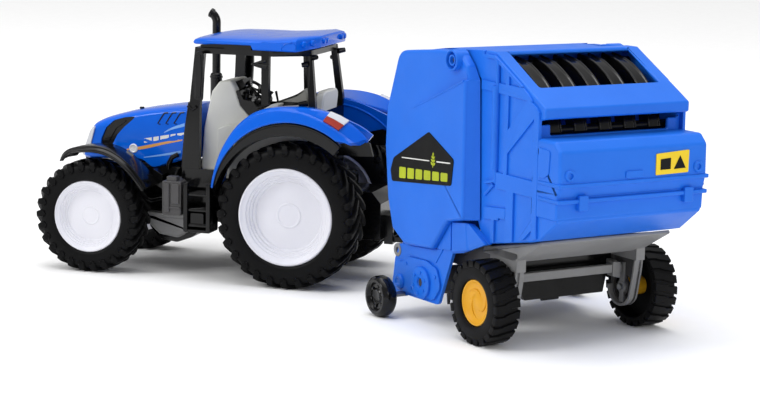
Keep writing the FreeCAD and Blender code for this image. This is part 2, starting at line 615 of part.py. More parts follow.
def pickup():
    plate = [(-83.5, 27.4), (-84.7, 17.8), (-86.4, 9.7), (-81, 7.4), (-69.9, 9.2), (-41.9, 10.5), (-30, 38.6),
             (-21, 40.4), (-2.4, 47.5), (-16.8, 55.3), (-30.9, 54.4), (-44.1, 38.5), (-69.7, 36.7), (-79, 35)]
    for side_name, side in SIDES.items():
        part = new_body(f"pickup_plate_{side_name}", "baler")
        limits = span(side, "pickup_in", "pickup_out")
        low, high = span(side, "shield_in-2.6", "pickup_in")
        prism(part, "side", plate, *limits)
        prism(part, "side", [(-79, 30), (-79, 36.6), (-46, 36.6), (-40, 30)], low, high)
        bar(part, "side", "reel_y", "reel_z", 8.4, *span(side, "pickup_out", "pickup_out+1.4"))
        bar(part, "side", "reel_y", "reel_z", 2.4, *span(side, "pickup_in", "pickup_out+1.4"), cut=True)
        bar(part, "side", "gauge_y", "gauge_r", "gauge_pin_r", *limits, cut=True)
    reel = new_body("pickup_reel", "baler", "reel_y", "reel_z")
    bar(reel, "side", 0, 0, "2.4-play", "-pickup_out-1", "pickup_out+1")
    bar(reel, "side", 0, 0, "reel_r-6", "0.6-pickup_in", "pickup_in-0.6")
    for index in range(9):
        x = f"-30+{index}*7.5"
        for quarter in range(4):
            tip, root = (polar((0, 0), radius, quarter * 90) for radius in ("reel_r", 4))
            side_a, side_b = (polar((0, 0), "reel_r-6", quarter * 90 + off) for off in (-9, 9))
            prism(reel, "side", [root, side_a, tip, side_b], f"{x}-0.8", f"{x}+0.8")


def baler_chassis():
    part = new_body("baler_chassis", "baler")
    rail = [(-62, 31), (-62, 37), (-32, 37), (-16, 45.4), (-9, 45.4), (28, 52.4), (28, 48.4), (-6, 41),
            (-6, 31)]
    for side in SIDES.values():
        limits = span(side, "bracket_in", "bracket_out")
        prism(part, "side", rail, *limits)
        hanger = [(-9.5, "baler_r", 9.5), (0, "baler_r-9.5", 9.5), (9.5, "baler_r"), (13, 32), (13, 45),
                  (-9.5, 41)]
        prism(part, "side", hanger, *limits)
        bar(part, "side", 0, "baler_r", "axle_r", *limits, cut=True)
    block(part, "-bracket_out", "bracket_out", -20, -16, 37, 43)
    prism(part, "side", [(9.8, 41), (31, 52.2), (31, 53.4), (28, 52.8), (8, 43)],
          "-bracket_out", "bracket_out")
    block(part, "-bracket_in", "bracket_in", -1.87, 1.2, 28.2, 32.2)
    block(part, "-bracket_in", "bracket_in", -62, -57.6, 33.4, 37)


def belly_panel():
    part = new_body("belly_panel", "baler")
    prism(part, "side", [(-7.4, 30.9), (-2.4, 30.9), (-0.6, 19.6), (-2.6, 19)], "-belly_half", "belly_half")
    prism(part, "side", [(-43, 31.4), (-43, 33.4), (-7.4, 30.9), (-7.4, 29)], "-belly_half", "belly_half")


def drawbar():
    part = new_body("drawbar", "baler", "-towbar_reach", "0")
    reach = "towbar_reach-71.5"
    prism(part, "plan", [(4.6, 0), (6, 12), (8, reach), (-8, reach), (-6, 12), (-4.6, 0, 4.6),
                         (0, -4.6, 4.6)],
          "hitch_z-3.6", "hitch_z+3.6")
    block(part, -11, 11, f"{reach}-8", f"{reach}+9.5", "hitch_z+3.6", 37)
    bar(part, "plan", 0, 0, "pin_r+play", "hitch_z-3.6", "hitch_z+3.6", cut=True)


for build in (chassis, engine_sump, hood, side_grilles, nose_pieces, cab_frame, cab_roof, cab_interior,
              cab_fittings, exhaust_stack, mirrors, rear_fenders, front_fenders, cab_steps, tail_lamps,
              tractor_wheels, rear_hitch, side_shields, baler_front_shell, tailgate, rear_cover, belt_bars,
              pickup, baler_chassis, belly_panel, drawbar, baler_wheels):
    build()

doc.recompute()
for item in doc.Objects:
    if {"Invalid", "Error"} & set(item.State):
        raise ValueError(f"{item.Label} failed: {item.State}")

bodies = [item for item in doc.Objects if item.TypeId == "PartDesign::Body"]
for part in bodies:
    if part.Shape.isNull() or not part.Shape.isValid():
        raise ValueError(f"{part.Label} has no valid shape")

os.makedirs("parts", exist_ok=True)
for part in bodies:
    part.Shape.exportStep(f"parts/{part.Label}.step")
print(f"{len(bodies)} parts written")
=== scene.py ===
"""Toy tractor with a hitched round baler: the looks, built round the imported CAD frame.

Shapes are modelled in millimetres in each vehicle's own frame, as the CAD part is: x to its left,
y to its back, z up from the ground, with the origin under the tractor's rear axle or under the
baler's axle. A shell is a pair (points, faces); a piece is one or more closed shells.
"""
import json
import math

import bmesh
import bpy
from mathutils import Matrix, Vector


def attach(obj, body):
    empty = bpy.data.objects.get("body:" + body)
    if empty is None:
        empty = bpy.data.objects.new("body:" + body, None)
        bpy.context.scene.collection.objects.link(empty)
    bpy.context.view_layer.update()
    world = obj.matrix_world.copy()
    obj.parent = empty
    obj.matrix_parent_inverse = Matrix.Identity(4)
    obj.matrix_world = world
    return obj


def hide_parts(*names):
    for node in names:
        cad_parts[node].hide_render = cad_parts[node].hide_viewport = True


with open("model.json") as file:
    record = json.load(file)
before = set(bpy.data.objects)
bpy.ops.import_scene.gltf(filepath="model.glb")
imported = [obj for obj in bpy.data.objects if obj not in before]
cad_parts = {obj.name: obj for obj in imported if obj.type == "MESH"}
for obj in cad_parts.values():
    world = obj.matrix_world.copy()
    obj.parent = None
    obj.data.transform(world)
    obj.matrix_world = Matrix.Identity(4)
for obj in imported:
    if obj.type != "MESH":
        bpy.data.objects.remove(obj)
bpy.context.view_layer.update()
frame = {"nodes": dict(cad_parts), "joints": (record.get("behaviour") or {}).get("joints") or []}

JOINTS = {joint["name"]: joint for joint in frame["joints"]}
SIDES = {"left": 1, "right": -1}
AXES = {"side": (2, 0, 1), "front": (0, 2, 1), "plan": (0, 1, 2)}


# ---- the two vehicles' frames, worked out from the joints ----

def joint_place(name):
    """A joint's place at rest, in metres."""
    return Vector(JOINTS[name]["pos_m"])


def vehicle_frame(left_wheel, right_wheel):
    """Millimetres of a vehicle's own frame to metres of the row frame."""
    middle = (joint_place(left_wheel) + joint_place(right_wheel)) / 2
    left = Vector(JOINTS[left_wheel]["axis"])
    if left.dot(joint_place(left_wheel) - middle) < 0:
        left = -left
    turn = Matrix.Rotation(math.atan2(left.y, left.x), 4, "Z")
    return Matrix.Translation((middle.x, middle.y, 0)) @ turn @ Matrix.Scale(0.001, 4)


TRACTOR = vehicle_frame("wheel_rear_left_spin", "wheel_rear_right_spin")
BALER = vehicle_frame("baler_wheel_left_spin", "baler_wheel_right_spin")


def extent(node, vehicle):
    """Lowest and highest corner of a CAD node, in its vehicle's millimetres."""
    back = vehicle.inverted()
    points = [back @ vertex.co for vertex in frame["nodes"][node].data.vertices]
    return (Vector(min(point[axis] for point in points) for axis in range(3)),
            Vector(max(point[axis] for point in points) for axis in range(3)))


def wheel_size(node, vehicle):
    """A wheel's radius, its centre (y, z), and how far its outer and inner face are from the middle line."""
    low, high = extent(node, vehicle)
    centre = ((low.y + high.y) / 2, (low.z + high.z) / 2)
    return (high.z - low.z) / 2, centre, max(abs(low.x), abs(high.x)), min(abs(low.x), abs(high.x))


def around(centre, radius, turn):
    """The point of a circle at an angle in radians."""
    return centre[0] + radius * math.cos(turn), centre[1] + radius * math.sin(turn)


# ---- outlines ----

def arc(centre, radius, start, end, steps):
    """Points of a circle from the angle start to the angle end, in degrees."""
    turns = [math.radians(start + (end - start) * step / steps) for step in range(steps + 1)]
    return [around(centre, radius, turn) for turn in turns]


def rounded(corners, radius, steps=4):
    """An outline with its corners rounded off. A corner (u, v, r) has a radius of its own."""
    points = []
    count = len(corners)
    for index, corner in enumerate(corners):
        here = Vector(corner[:2])
        back, ahead = Vector(corners[index - 1][:2]) - here, Vector(corners[(index + 1) % count][:2]) - here
        size = corner[2] if len(corner) > 2 else radius
        half = back.angle(ahead) / 2
        reach = min(size / math.tan(half), 0.45 * back.length, 0.45 * ahead.length)
        if size == 0 or math.degrees(half) > 88:
            points.append(tuple(here))
            continue
        start, end = here + back.normalized() * reach, here + ahead.normalized() * reach
        for step in range(steps + 1):
            part = step / steps
            points.append(tuple(start * (1 - part) ** 2 + here * 2 * part * (1 - part) + end * part ** 2))
    return points


def inset(outline, distance):
    """The outline moved inwards by an even distance."""
    count = len(outline)
    area = sum(outline[index - 1][0] * outline[index][1] - outline[index][0] * outline[index - 1][1]
               for index in range(count))
    inward = 1 if area > 0 else -1
    points = []
    for index in range(count):
        here = Vector(outline[index][:2])
        back = (here - Vector(outline[index - 1][:2])).normalized()
        ahead = (Vector(outline[(index + 1) % count][:2]) - here).normalized()
        normal = Vector((-back.y, back.x)) * inward
        mitre = (normal + Vector((-ahead.y, ahead.x)) * inward).normalized()
        points.append(tuple(here + mitre * distance / max(0.4, mitre.dot(normal))))
    return points


def smooth(stations, count):
    """count rows of numbers along a Catmull-Rom curve through the stations."""
    rows = []
    last = len(stations) - 1
    for index in range(count):
        place = index * last / (count - 1)
        base = min(int(place), last - 1)
        part = place - base
        four = [stations[max(0, min(last, base + step))] for step in (-1, 0, 1, 2)]
        rows.append([0.5 * (2 * b + (c - a) * part + (2 * a - 5 * b + 4 * c - d) * part ** 2
                            + (3 * b - a - 3 * c + d) * part ** 3) for a, b, c, d in zip(*four)])
    return rows


def between(table, place):
    """The row of a table [(place, value, ...)] at a place, in straight lines."""
    if place <= table[0][0]:
        return table[0][1:]
    for (low, *first), (high, *second) in zip(table, table[1:]):
        if place <= high:
            part = (place - low) / (high - low)
            return [a + (b - a) * part for a, b in zip(first, second)]
    return table[-1][1:]


# ---- shells ----

def skin(loops, wrap=False):
    """Faces between loops of equal length; the first and last are capped unless they wrap round."""
    count = len(loops[0])
    points = [point for loop in loops for point in loop]
    rows = len(loops)
    faces = []
    for row in range(rows if wrap else rows - 1):
        low, high = row * count, (row + 1) % rows * count
        for index in range(count):
            after = (index + 1) % count
            faces.append((low + index, low + after, high + after, high + index))
    if not wrap:
        faces.append(tuple(reversed(range(count))))
        faces.append(tuple(range((rows - 1) * count, rows * count)))
    return points, faces


def laid(view, outline, height):
    """The outline's points in space: a side view is (y, z), a front view (x, z), a plan (x, y)."""
    order = AXES[view]
    return [tuple((*point[:2], height)[index] for index in order) for point in outline]


def prism(view, outline, low, high):
    """The outline drawn out straight between two heights."""
    return skin([laid(view, outline, low), laid(view, outline, high)])


def slab(x_low, x_high, y_low, y_high, z_low, z_high):
    """A small plain bar or web between limits, rounded later by its piece's bevel."""
    return prism("plan", [(x_low, y_low), (x_high, y_low), (x_high, y_high), (x_low, y_high)], z_low, z_high)


def plate(view, outline, low, high, fillet, foot=0, steps=4):
    """A prism whose upper edge is rounded off, and its lower edge too when it has a foot radius."""
    loops = []
    for step in range(steps + 1 if foot else 0):
        turn = math.pi / 2 * (1 - step / steps)
        loops.append(laid(view, inset(outline, foot * (1 - math.cos(turn))),
                          low + foot * (1 - math.sin(turn))))
    if not foot:
        loops.append(laid(view, outline, low))
    for step in range(steps + 1):
        turn = math.pi / 2 * step / steps
        loops.append(laid(view, inset(outline, fillet * (1 - math.cos(turn))),
                          high - fillet * (1 - math.sin(turn))))
    return skin(loops)


def turned(profile, centre, steps=64, view="side"):
    """Revolve a closed (height, radius) profile about the view's axis through centre."""
    loops = []
    for step in range(steps):
        turn = 2 * math.pi * step / steps
        ring = []
        for height, radius in profile:
            ring += laid(view, [around(centre, radius, turn)], height)
        loops.append(ring)
    return skin(loops, wrap=True)


def disc(view, centre, radius, low, high, steps=32):
    """A stud or roller about the view's axis."""
    return turned([(low, 0), (high, 0), (high, radius), (low, radius)], centre, steps, view)


def tube(path, radius, sides=12):
    """A round bar along a path of points, with one radius or one for each point."""
    path = [Vector(point) for point in path]
    last = len(path) - 1
    loops = []
    normal = None
    for index, here in enumerate(path):
        along = (path[min(index + 1, last)] - path[max(index - 1, 0)]).normalized()
        if normal is None:
            normal = along.orthogonal() if abs(along.x) > 0.9 else along.cross((1, 0, 0))
            normal.normalize()
        normal = (normal - along * normal.dot(along)).normalized()
        across = along.cross(normal)
        size = radius[index] if isinstance(radius, (list, tuple)) else radius
        loops.append([tuple(here + size * (math.cos(turn) * normal + math.sin(turn) * across))
                      for turn in (2 * math.pi * side / sides for side in range(sides))])
    return skin(loops)


def swept(path, section, x_shift=0):
    """Sweep a section of (x, lift) points along a side-view path that runs backwards."""
    last = len(path) - 1
    loops = []
    for step, (y, z) in enumerate(path):
        ahead = Vector(path[min(step + 1, last)]) - Vector(path[max(step - 1, 0)])
        out = Vector((-ahead.y, ahead.x)).normalized()
        loops.append([(x_shift + x, y + out.x * lift, z + out.y * lift) for x, lift in section])
    return skin(loops)


def mirrored(shell):
    """The shell on the other side of the middle line."""
    points, faces = shell
    return [(-x, y, z) for x, y, z in points], faces


def sided(side, shells):
    """The left side's shells, or their mirror images for the right side."""
    return shells if side > 0 else [mirrored(shell) for shell in shells]


def both(shells):
    """The left side's shells and their mirror images."""
    return shells + [mirrored(shell) for shell in shells]


# ---- pieces ----

def add_shells(mesh, shells, vehicle):
    """Add shells given in a vehicle's millimetres, each with its doubled points merged."""
    for points, faces in shells:
        verts = [mesh.verts.new(vehicle @ Vector(point)) for point in points]
        for face in faces:
            mesh.faces.new([verts[index] for index in face])
        bmesh.ops.remove_doubles(mesh, verts=verts, dist=2e-6)


def rounded_edges(target, width, segments, angle, clamp):
    """The small radius that a mould leaves on edges sharper than the angle."""
    bevel = target.modifiers.new("moulding_radius", "BEVEL")
    bevel.width = width * 0.001
    bevel.segments = segments
    bevel.limit_method = "ANGLE"
    bevel.angle_limit = math.radians(angle)
    bevel.harden_normals = True
    bevel.miter_outer = "MITER_ARC"
    bevel.use_clamp_overlap = clamp


def piece(name, look, shells, body, vehicle=TRACTOR, nodes=(), bevel=0.3, segments=2, angle=32, cad=None,
          clamp=True):
    """One object made of closed shells, with the CAD node's own shape in it when cad names it."""
    mesh = bmesh.new()
    if cad:
        mesh.from_mesh(frame["nodes"][cad].data)
        bmesh.ops.remove_doubles(mesh, verts=mesh.verts, dist=2e-6)
        bmesh.ops.dissolve_limit(mesh, angle_limit=math.radians(1), verts=mesh.verts, edges=mesh.edges)
        for layer in list(mesh.loops.layers.uv):
            mesh.loops.layers.uv.remove(layer)
    add_shells(mesh, shells, vehicle)
    bmesh.ops.dissolve_degenerate(mesh, dist=1e-6, edges=mesh.edges)
    bmesh.ops.recalc_face_normals(mesh, faces=mesh.faces)
    data = bpy.data.meshes.new(name)
    mesh.to_mesh(data)
    mesh.free()
    data.shade_smooth()
    data.set_sharp_from_angle(angle=math.radians(angle))
    data.materials.append(LOOKS[look])
    made = bpy.data.objects.new(name, data)
    bpy.context.scene.collection.objects.link(made)
    if bevel:
        rounded_edges(made, bevel, segments, angle, clamp)
    else:
        flats = made.modifiers.new("flat_faces", "WEIGHTED_NORMAL")
        flats.keep_sharp = True
    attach(made, body)
    if cad:
        nodes = (cad, *nodes)
    if nodes:
        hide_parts(*nodes)
    return made


def side_pieces(name, look, shells, body, vehicle=TRACTOR, node="", **options):
    """A left piece and its mirror image; a * in name and node stands for the side's name."""
    for side_name, side in SIDES.items():
        nodes = (node.replace("*", side_name),) if node else ()
        piece(name.replace("*", side_name), look, sided(side, shells), body, vehicle, nodes, **options)


def carved(target, shells, vehicle, name):
    """Cut the shells out of a piece's mesh, before its edges are rounded."""
    mesh = bmesh.new()
    add_shells(mesh, shells, vehicle)
    bmesh.ops.recalc_face_normals(mesh, faces=mesh.faces)
    data = bpy.data.meshes.new(name)
    mesh.to_mesh(data)
    mesh.free()
    tool = bpy.data.objects.new(name, data)
    bpy.context.scene.collection.objects.link(tool)
    cut = target.modifiers.new("carve", "BOOLEAN")
    cut.object = tool
    cut.solver = "EXACT"
    cut.use_self = False
    while target.modifiers[0] != cut:
        index = target.modifiers.find(cut.name)
        target.modifiers.move(index, index - 1)
    bevels = [item for item in target.modifiers if item.type == "BEVEL"]
    for item in bevels:
        item.show_viewport = False
    graph = bpy.context.evaluated_depsgraph_get()
    result = bpy.data.meshes.new_from_object(target.evaluated_get(graph))
    target.modifiers.remove(cut)
    for item in bevels:
        item.show_viewport = True
    bpy.data.objects.remove(tool)
    target.data = result
    result.set_sharp_from_angle(angle=math.radians(32))


# ---- materials ----

def nodes_of(name):
    """A new material, its node tree and its shader."""
    material = bpy.data.materials.new(name)
    material.use_nodes = True
    tree = material.node_tree
    return material, tree, tree.nodes["Principled BSDF"]


def noise_node(tree, scale, detail, place):
    """A noise value at a place, with the given scale and detail."""
    texture = tree.nodes.new("ShaderNodeTexNoise")
    texture.inputs["Scale"].default_value = scale
    texture.inputs["Detail"].default_value = detail
    tree.links.new(place, texture.inputs["Vector"])
    return texture.outputs["Fac"]


def ramp(tree, source, low, high):
    """Stretch a noise value to the range low..high."""
    spread = tree.nodes.new("ShaderNodeMapRange")
    spread.inputs["From Min"].default_value = 0.3
    spread.inputs["From Max"].default_value = 0.7
    spread.inputs["To Min"].default_value = low
    spread.inputs["To Max"].default_value = high
    tree.links.new(source, spread.inputs["Value"])
    return spread.outputs["Result"]


def blend_colours(tree, factor, first, second):
    """Mix two colours, each a plain colour or another node's output."""
    mix = tree.nodes.new("ShaderNodeMix")
    mix.data_type = "RGBA"
    tree.links.new(factor, mix.inputs["Factor"])
    for socket, colour in ((mix.inputs[6], first), (mix.inputs[7], second)):
        if isinstance(colour, tuple):
            socket.default_value = (*colour, 1)
        else:
            tree.links.new(colour, socket)
    return mix.outputs[2]


def linear(red, green, blue):
    """Linear colour from the 0-255 values a colour picker shows."""
    return tuple((value / 255 / 12.92) if value <= 10 else ((value / 255 + 0.055) / 1.055) ** 2.4
                 for value in (red, green, blue))


def moulded(name, colour, shade, rough, grain=0.02, grain_scale=2600, coat=0.0, specular=0.3):
    """Injection-moulded plastic: cloudy pigment, faint dust, uneven gloss and a fine skin."""
    material, tree, shader = nodes_of(name)
    place = tree.nodes.new("ShaderNodeTexCoord").outputs["Object"]
    cloud = ramp(tree, noise_node(tree, 38, 3, place), 0, 1)
    base = blend_colours(tree, cloud, linear(*colour), linear(*shade))
    dust = ramp(tree, noise_node(tree, 900, 5, place), 0, 0.03)
    pale = tuple(min(1, channel * 1.3 + 0.03) for channel in linear(*colour))
    tree.links.new(blend_colours(tree, dust, base, pale), shader.inputs["Base Color"])
    gloss = ramp(tree, noise_node(tree, 120, 4, place), max(rough - 0.04, 0.03), rough + 0.05)
    tree.links.new(gloss, shader.inputs["Roughness"])
    bump = tree.nodes.new("ShaderNodeBump")
    bump.inputs["Strength"].default_value = grain * 8
    bump.inputs["Distance"].default_value = 0.0001
    tree.links.new(noise_node(tree, grain_scale, 3, place), bump.inputs["Height"])
    tree.links.new(bump.outputs["Normal"], shader.inputs["Normal"])
    shader.inputs["Coat Weight"].default_value = coat
    shader.inputs["Coat Roughness"].default_value = 0.08
    shader.inputs["Specular IOR Level"].default_value = specular
    return material


def metal(name, colour, rough):
    """Bare steel wire: the plastic's nodes made metallic, with a finer grain."""
    material = moulded(name, colour, tuple(value * 0.8 for value in colour), rough, 0.02, 4000)
    material.node_tree.nodes["Principled BSDF"].inputs["Metallic"].default_value = 1
    return material


# Each plastic: colour, its cloudy shade, roughness, grain, grain scale, coat and specular level.
PLASTICS = {
    "tractor_blue": ((3, 96, 214), (2, 90, 206), 0.16, 0.008, 1500, 0.22, 0.12),
    "baler_blue": ((26, 108, 220), (21, 103, 214), 0.4, 0.02, 2600, 0, 0.26),
    "black_plastic": ((10, 10, 11), (7, 7, 8), 0.18, 0.012, 2200, 0.1, 0.22),
    "dark_grey_plastic": ((72, 71, 72), (62, 61, 62), 0.4, 0.02, 2400),
    "grey_plastic": ((134, 134, 134), (124, 124, 125), 0.46, 0.02, 2400),
    "interior_grey": ((220, 220, 213), (210, 210, 203), 0.5, 0.02, 2400),
    "wheel_white": ((222, 222, 229), (216, 216, 224), 0.35, 0.01, 1800),
    "wheel_yellow": ((230, 172, 34), (216, 154, 26), 0.38, 0.02, 1800, 0, 0.3),
    "tyre_black": ((11, 11, 12), (8, 8, 9), 0.46, 0.04, 3000, 0, 0.1),
    "lamp_silver": ((224, 226, 230), (208, 210, 216), 0.2, 0.02, 1800, 0.5),
    "lamp_red": ((176, 60, 44), (150, 44, 34), 0.25, 0.02, 1800, 0.4),
    "stripe_gold": ((226, 168, 96), (206, 146, 76), 0.4),
    "stripe_pale": ((130, 178, 238), (116, 166, 232), 0.3),
    "label_black": ((14, 14, 14), (10, 10, 10), 0.5, 0.02, 2600, 0, 0.15),
    "label_white": ((226, 226, 222), (214, 214, 210), 0.5),
    "label_green": ((176, 188, 34), (160, 172, 26), 0.5),
    "label_yellow": ((238, 206, 42), (226, 192, 34), 0.45),
}
LOOKS = {name: moulded(name, *values) for name, values in PLASTICS.items()}
LOOKS["axle_steel"] = metal("axle_steel", (170, 172, 176), 0.32)


# ---- stage ----

def stage():
    """A pale floor and large soft lights."""
    bpy.ops.mesh.primitive_plane_add(size=14, location=(0, 0, 0))
    floor = bpy.context.object
    floor.name = "floor"
    material, tree, shader = nodes_of("floor_paper")
    place = tree.nodes.new("ShaderNodeTexCoord").outputs["Object"]
    fine = ramp(tree, noise_node(tree, 60, 3, place), 0, 1)
    tree.links.new(blend_colours(tree, fine, (0.95, 0.95, 0.95), (0.97, 0.97, 0.97)),
                   shader.inputs["Base Color"])
    shader.inputs["Roughness"].default_value = 0.9
    shader.inputs["Specular IOR Level"].default_value = 0.1
    floor.data.materials.append(material)

    world = bpy.data.worlds.new("studio")
    bpy.context.scene.world = world
    world.use_nodes = True
    world.node_tree.nodes["Background"].inputs["Color"].default_value = (1, 1, 1, 1)
    world.node_tree.nodes["Background"].inputs["Strength"].default_value = 0.5
    bpy.context.scene.view_settings.view_transform = "Standard"

    lights = {"key": ((1.1, -1.3, 1.3), 0.7, 16), "back": ((0.9, 1.4, 0.7), 0.5, 5),
              "top": ((-0.2, 0.0, 1.7), 1.3, 9)}
    for name, (spot, size, power) in lights.items():
        lamp = bpy.data.lights.new(name, "AREA")
        lamp.size = size
        lamp.energy = power
        holder = bpy.data.objects.new(name, lamp)
        holder.location = spot
        holder.rotation_euler = Vector(spot).to_track_quat("Z", "Y").to_euler()
        bpy.context.scene.collection.objects.link(holder)
    overhead = bpy.data.lights.new("overhead", "SUN")
    overhead.angle = math.radians(70)
    overhead.energy = 1.2
    bpy.context.scene.collection.objects.link(bpy.data.objects.new("overhead", overhead))


def camera():
    azimuth, elevation, roll = math.radians(106.72), math.radians(9.47), 0.0198
    distance = 1.085
    aim = Vector((-0.01133, 0.01064, 0.04938))
    back = Vector((math.sin(azimuth) * math.cos(elevation), -math.cos(azimuth) * math.cos(elevation),
                   math.sin(elevation)))
    lens = bpy.data.cameras.new("camera")
    lens.lens = 98.05
    lens.sensor_width = 36
    holder = bpy.data.objects.new("camera", lens)
    turn = (-back).to_track_quat("-Z", "Y").to_matrix().to_4x4() @ Matrix.Rotation(roll, 4, "Z")
    holder.matrix_world = Matrix.Translation(aim + back * distance) @ turn
    bpy.context.scene.collection.objects.link(holder)
    bpy.context.scene.camera = holder


# ---- tractor wheels ----

def tyre_carcass(middle, half, radius, seat, centre, drop):
    """Bulged sidewalls between the bead and a slightly crowned tread."""
    flank = [(half * 0.8, seat - 0.4), (half * 0.93, seat + 0.3), (half * 0.97, seat + 1.2),
             (half * 0.975, seat + 1.5), (half, seat + 2.6), (half, seat + 4.8), (half * 0.985, radius - 6),
             (half * 0.95, radius - 4.2), (half * 0.88, radius - drop - 1),
             (half * 0.78, radius - drop - 0.35), (half * 0.5, radius - drop - 0.1),
             (half * 0.2, radius - drop)]
    profile = [(middle + x, r) for x, r in flank] + [(middle - x, r) for x, r in reversed(flank)]
    return turned(profile, centre, 96)


def chevron_lug(middle, half, radius, centre, side, start, sweep):
    """One curved tread bar, from its knob at the shoulder to the tread's middle."""
    sections = [(0.94, 1.0, -5.6, -5.2, 1.0, 0), (0.93, 1.035, -4.6, -3.4, 1.75, 0.01),
                (0.9, 1.02, -4, -2.2, 1.9, 0.02), (0.8, 0.95, -3.6, -0.7, 1.7, 0.08),
                (0.68, 0.8, -3.2, -0.3, 1.55, 0.22), (0.46, 0.54, -3, 0, 1.5, 0.5),
                (0.22, 0.28, -3, 0, 1.35, 0.78), (-0.04, 0, -3, 0, 1.0, 1)]
    loops = []
    for low_x, top_x, low_r, top_r, half_width, share in sections:
        turn = start + sweep * share ** 1.25
        loop = []
        for rise, across in ((0, -1.3), (0.7, -1.1), (1, -0.75), (1, 0.75), (0.7, 1.1), (0, 1.3)):
            x, r = low_x + (top_x - low_x) * rise, low_r + (top_r - low_r) * rise
            angle = turn + across * half_width / radius
            loop.append((middle + side * x * half, *around(centre, radius + r, angle)))
        loops.append(loop)
    return skin(loops)


def shoulder_knob(middle, half, radius, centre, side, turn):
    """A six-sided stud with a dimple, moulded on the sidewall at the end of a tread bar."""
    along, out = Vector((math.cos(turn), math.sin(turn))), Vector((-math.sin(turn), math.cos(turn)))
    hexagon = [(-2.3, 0), (-1.0, 1.75), (1.2, 1.95), (2.4, 1.0), (2.4, -1.0), (1.2, -1.95), (-1.0, -1.75)]
    loops = []
    for size, lift in ((1.15, -1.2), (1.0, 0.35), (0.84, 0.7), (0.6, 0.6), (0.46, 0.05), (0.14, 0.0)):
        loop = []
        for up, wide in hexagon:
            spot = Vector(centre) + along * (radius - 4.2 + up * size) + out * (wide * size)
            slope = 1 - 0.013 * max(0, up * size + 1.4) ** 1.7
            loop.append((middle + side * (half * 0.985 * slope + lift), *spot))
        loops.append(loop)
    return skin(loops)


TRACTOR_LUGS = {"front": 26, "rear": 28}


def tractor_tyre(end, side_name, side):
    """A carcass with curved tread bars from both shoulders, each with its stud on the sidewall."""
    node = f"tyre_{end}_{side_name}"
    radius, centre, face, inner = wheel_size(node, TRACTOR)
    half, middle = (face - inner) / 2, side * (face + inner) / 2
    seat = extent(f"rim_{end}_{side_name}", TRACTOR)[1].z - centre[1]
    shells = [tyre_carcass(middle, half, radius, seat, centre, 1.9)]
    for index in range(TRACTOR_LUGS[end]):
        for flank in (1, -1):
            start = 2 * math.pi * (index + (0.5 if flank < 0 else 0)) / TRACTOR_LUGS[end]
            shells.append(chevron_lug(middle, half, radius, centre, flank, start, 0.26))
            shells.append(shoulder_knob(middle, half, radius, centre, flank, start))
    piece(f"{node}_rubber", "tyre_black", shells, f"wheel_{end}_{side_name}", nodes=(node,), bevel=0,
          angle=38)


def tractor_rim(end, side_name, side):
    """White dished disc: a broad lip, four stepped rings, a flat middle and a shallow hub circle."""
    node = f"rim_{end}_{side_name}"
    seat, centre, _, _ = wheel_size(node, TRACTOR)
    _, _, face, inner = wheel_size(f"tyre_{end}_{side_name}", TRACTOR)
    k, deep = seat / 26.3, (1 if end == "rear" else 0.72)
    rings = [(-0.9, 25.7), (-0.9, 25.2), (-1.5, 24.7), (-2.1, 23.6), (-2.5, 22.8), (-3.7, 22.4), (-3.9, 21.5),
             (-5.1, 21.1), (-5.3, 20.3), (-6.6, 19.9), (-6.8, 18.9), (-8, 18.3), (-8.1, 17.2), (-7.8, 12),
             (-7.7, 7), (-7.3, 6.6), (-7.3, 6.1), (-7.6, 5.6), (-7.5, 0)]
    front = [(-1.3, seat)] + [(x * deep, r * k) for x, r in rings]
    thick, back_face = -9.8 * deep, inner - face
    back = [(thick, 0), (thick, 4.4), (back_face + 1.2, 4.2), (back_face + 1.2, 6.4), (thick - 0.6, 6.6),
            (thick - 0.4, 17.6 * k), (-8.6 * deep, 20.4 * k), (-6.6 * deep, 23 * k),
            (-7.6 * deep, seat - 1.8), (back_face + 5.5, seat - 1.8), (back_face + 5.2, seat - 2.6),
            (back_face + 1.4, seat - 1.6), (back_face + 1.4, seat)]
    shells = sided(side, [turned([(face + x, r) for x, r in front + back], centre, 96)])
    piece(f"{node}_disc", "wheel_white", shells, f"wheel_{end}_{side_name}", nodes=(node,), bevel=0.22,
          angle=24)


def tractor_wheels():
    for end in ("front", "rear"):
        for side_name, side in SIDES.items():
            tractor_tyre(end, side_name, side)
            tractor_rim(end, side_name, side)


# ---- tractor body ----

HOOD_RIBS = [(-63, 20, 62.4, 87.8, 92.2), (-71.5, 19.9, 61, 87.4, 91.4), (-80, 19.6, 58.2, 86.4, 90.5),
             (-87.8, 19.3, 55.8, 85.2, 89.3), (-94.6, 18.9, 59.6, 83.8, 88.2), (-103, 18.4, 60, 81.8, 86.5),
             (-112, 17.7, 59.8, 79.4, 84.2), (-119, 16.9, 59.4, 76.8, 82.1), (-124, 16.1, 59, 74.2, 80),
             (-127.2, 15.4, 58.8, 71.2, 78), (-129.4, 14.6, 58.8, 68, 74.4), (-131, 13.8, 59, 64.4, 70),
             (-132.1, 13, 59.2, 61.8, 65.6), (-132.7, 12.2, 59.4, 60.6, 62.4)]


def hood_rib(y, half, low, crease, top):
    """Front-view loop: flat sides leaning in a little, a soft crease and a flat crown."""
    lean = half * 0.93
    loop = [(half * 0.9, low), (half, low + 1.2), (half * 0.985, low + (crease - low) * 0.5)]
    steps = 9
    for step in range(steps + 1):
        turn = math.pi / 2 * step / steps
        loop.append((lean * math.cos(turn) ** 0.55, crease + (top - crease) * math.sin(turn) ** 0.9))
    left = [(-x, z) for x, z in reversed(loop[:-1])]
    return laid("front", loop + left, y)


SLOT_COUNT = 3
SLOT_PITCH = 4.9
BADGE = (-99.8, 66.4)


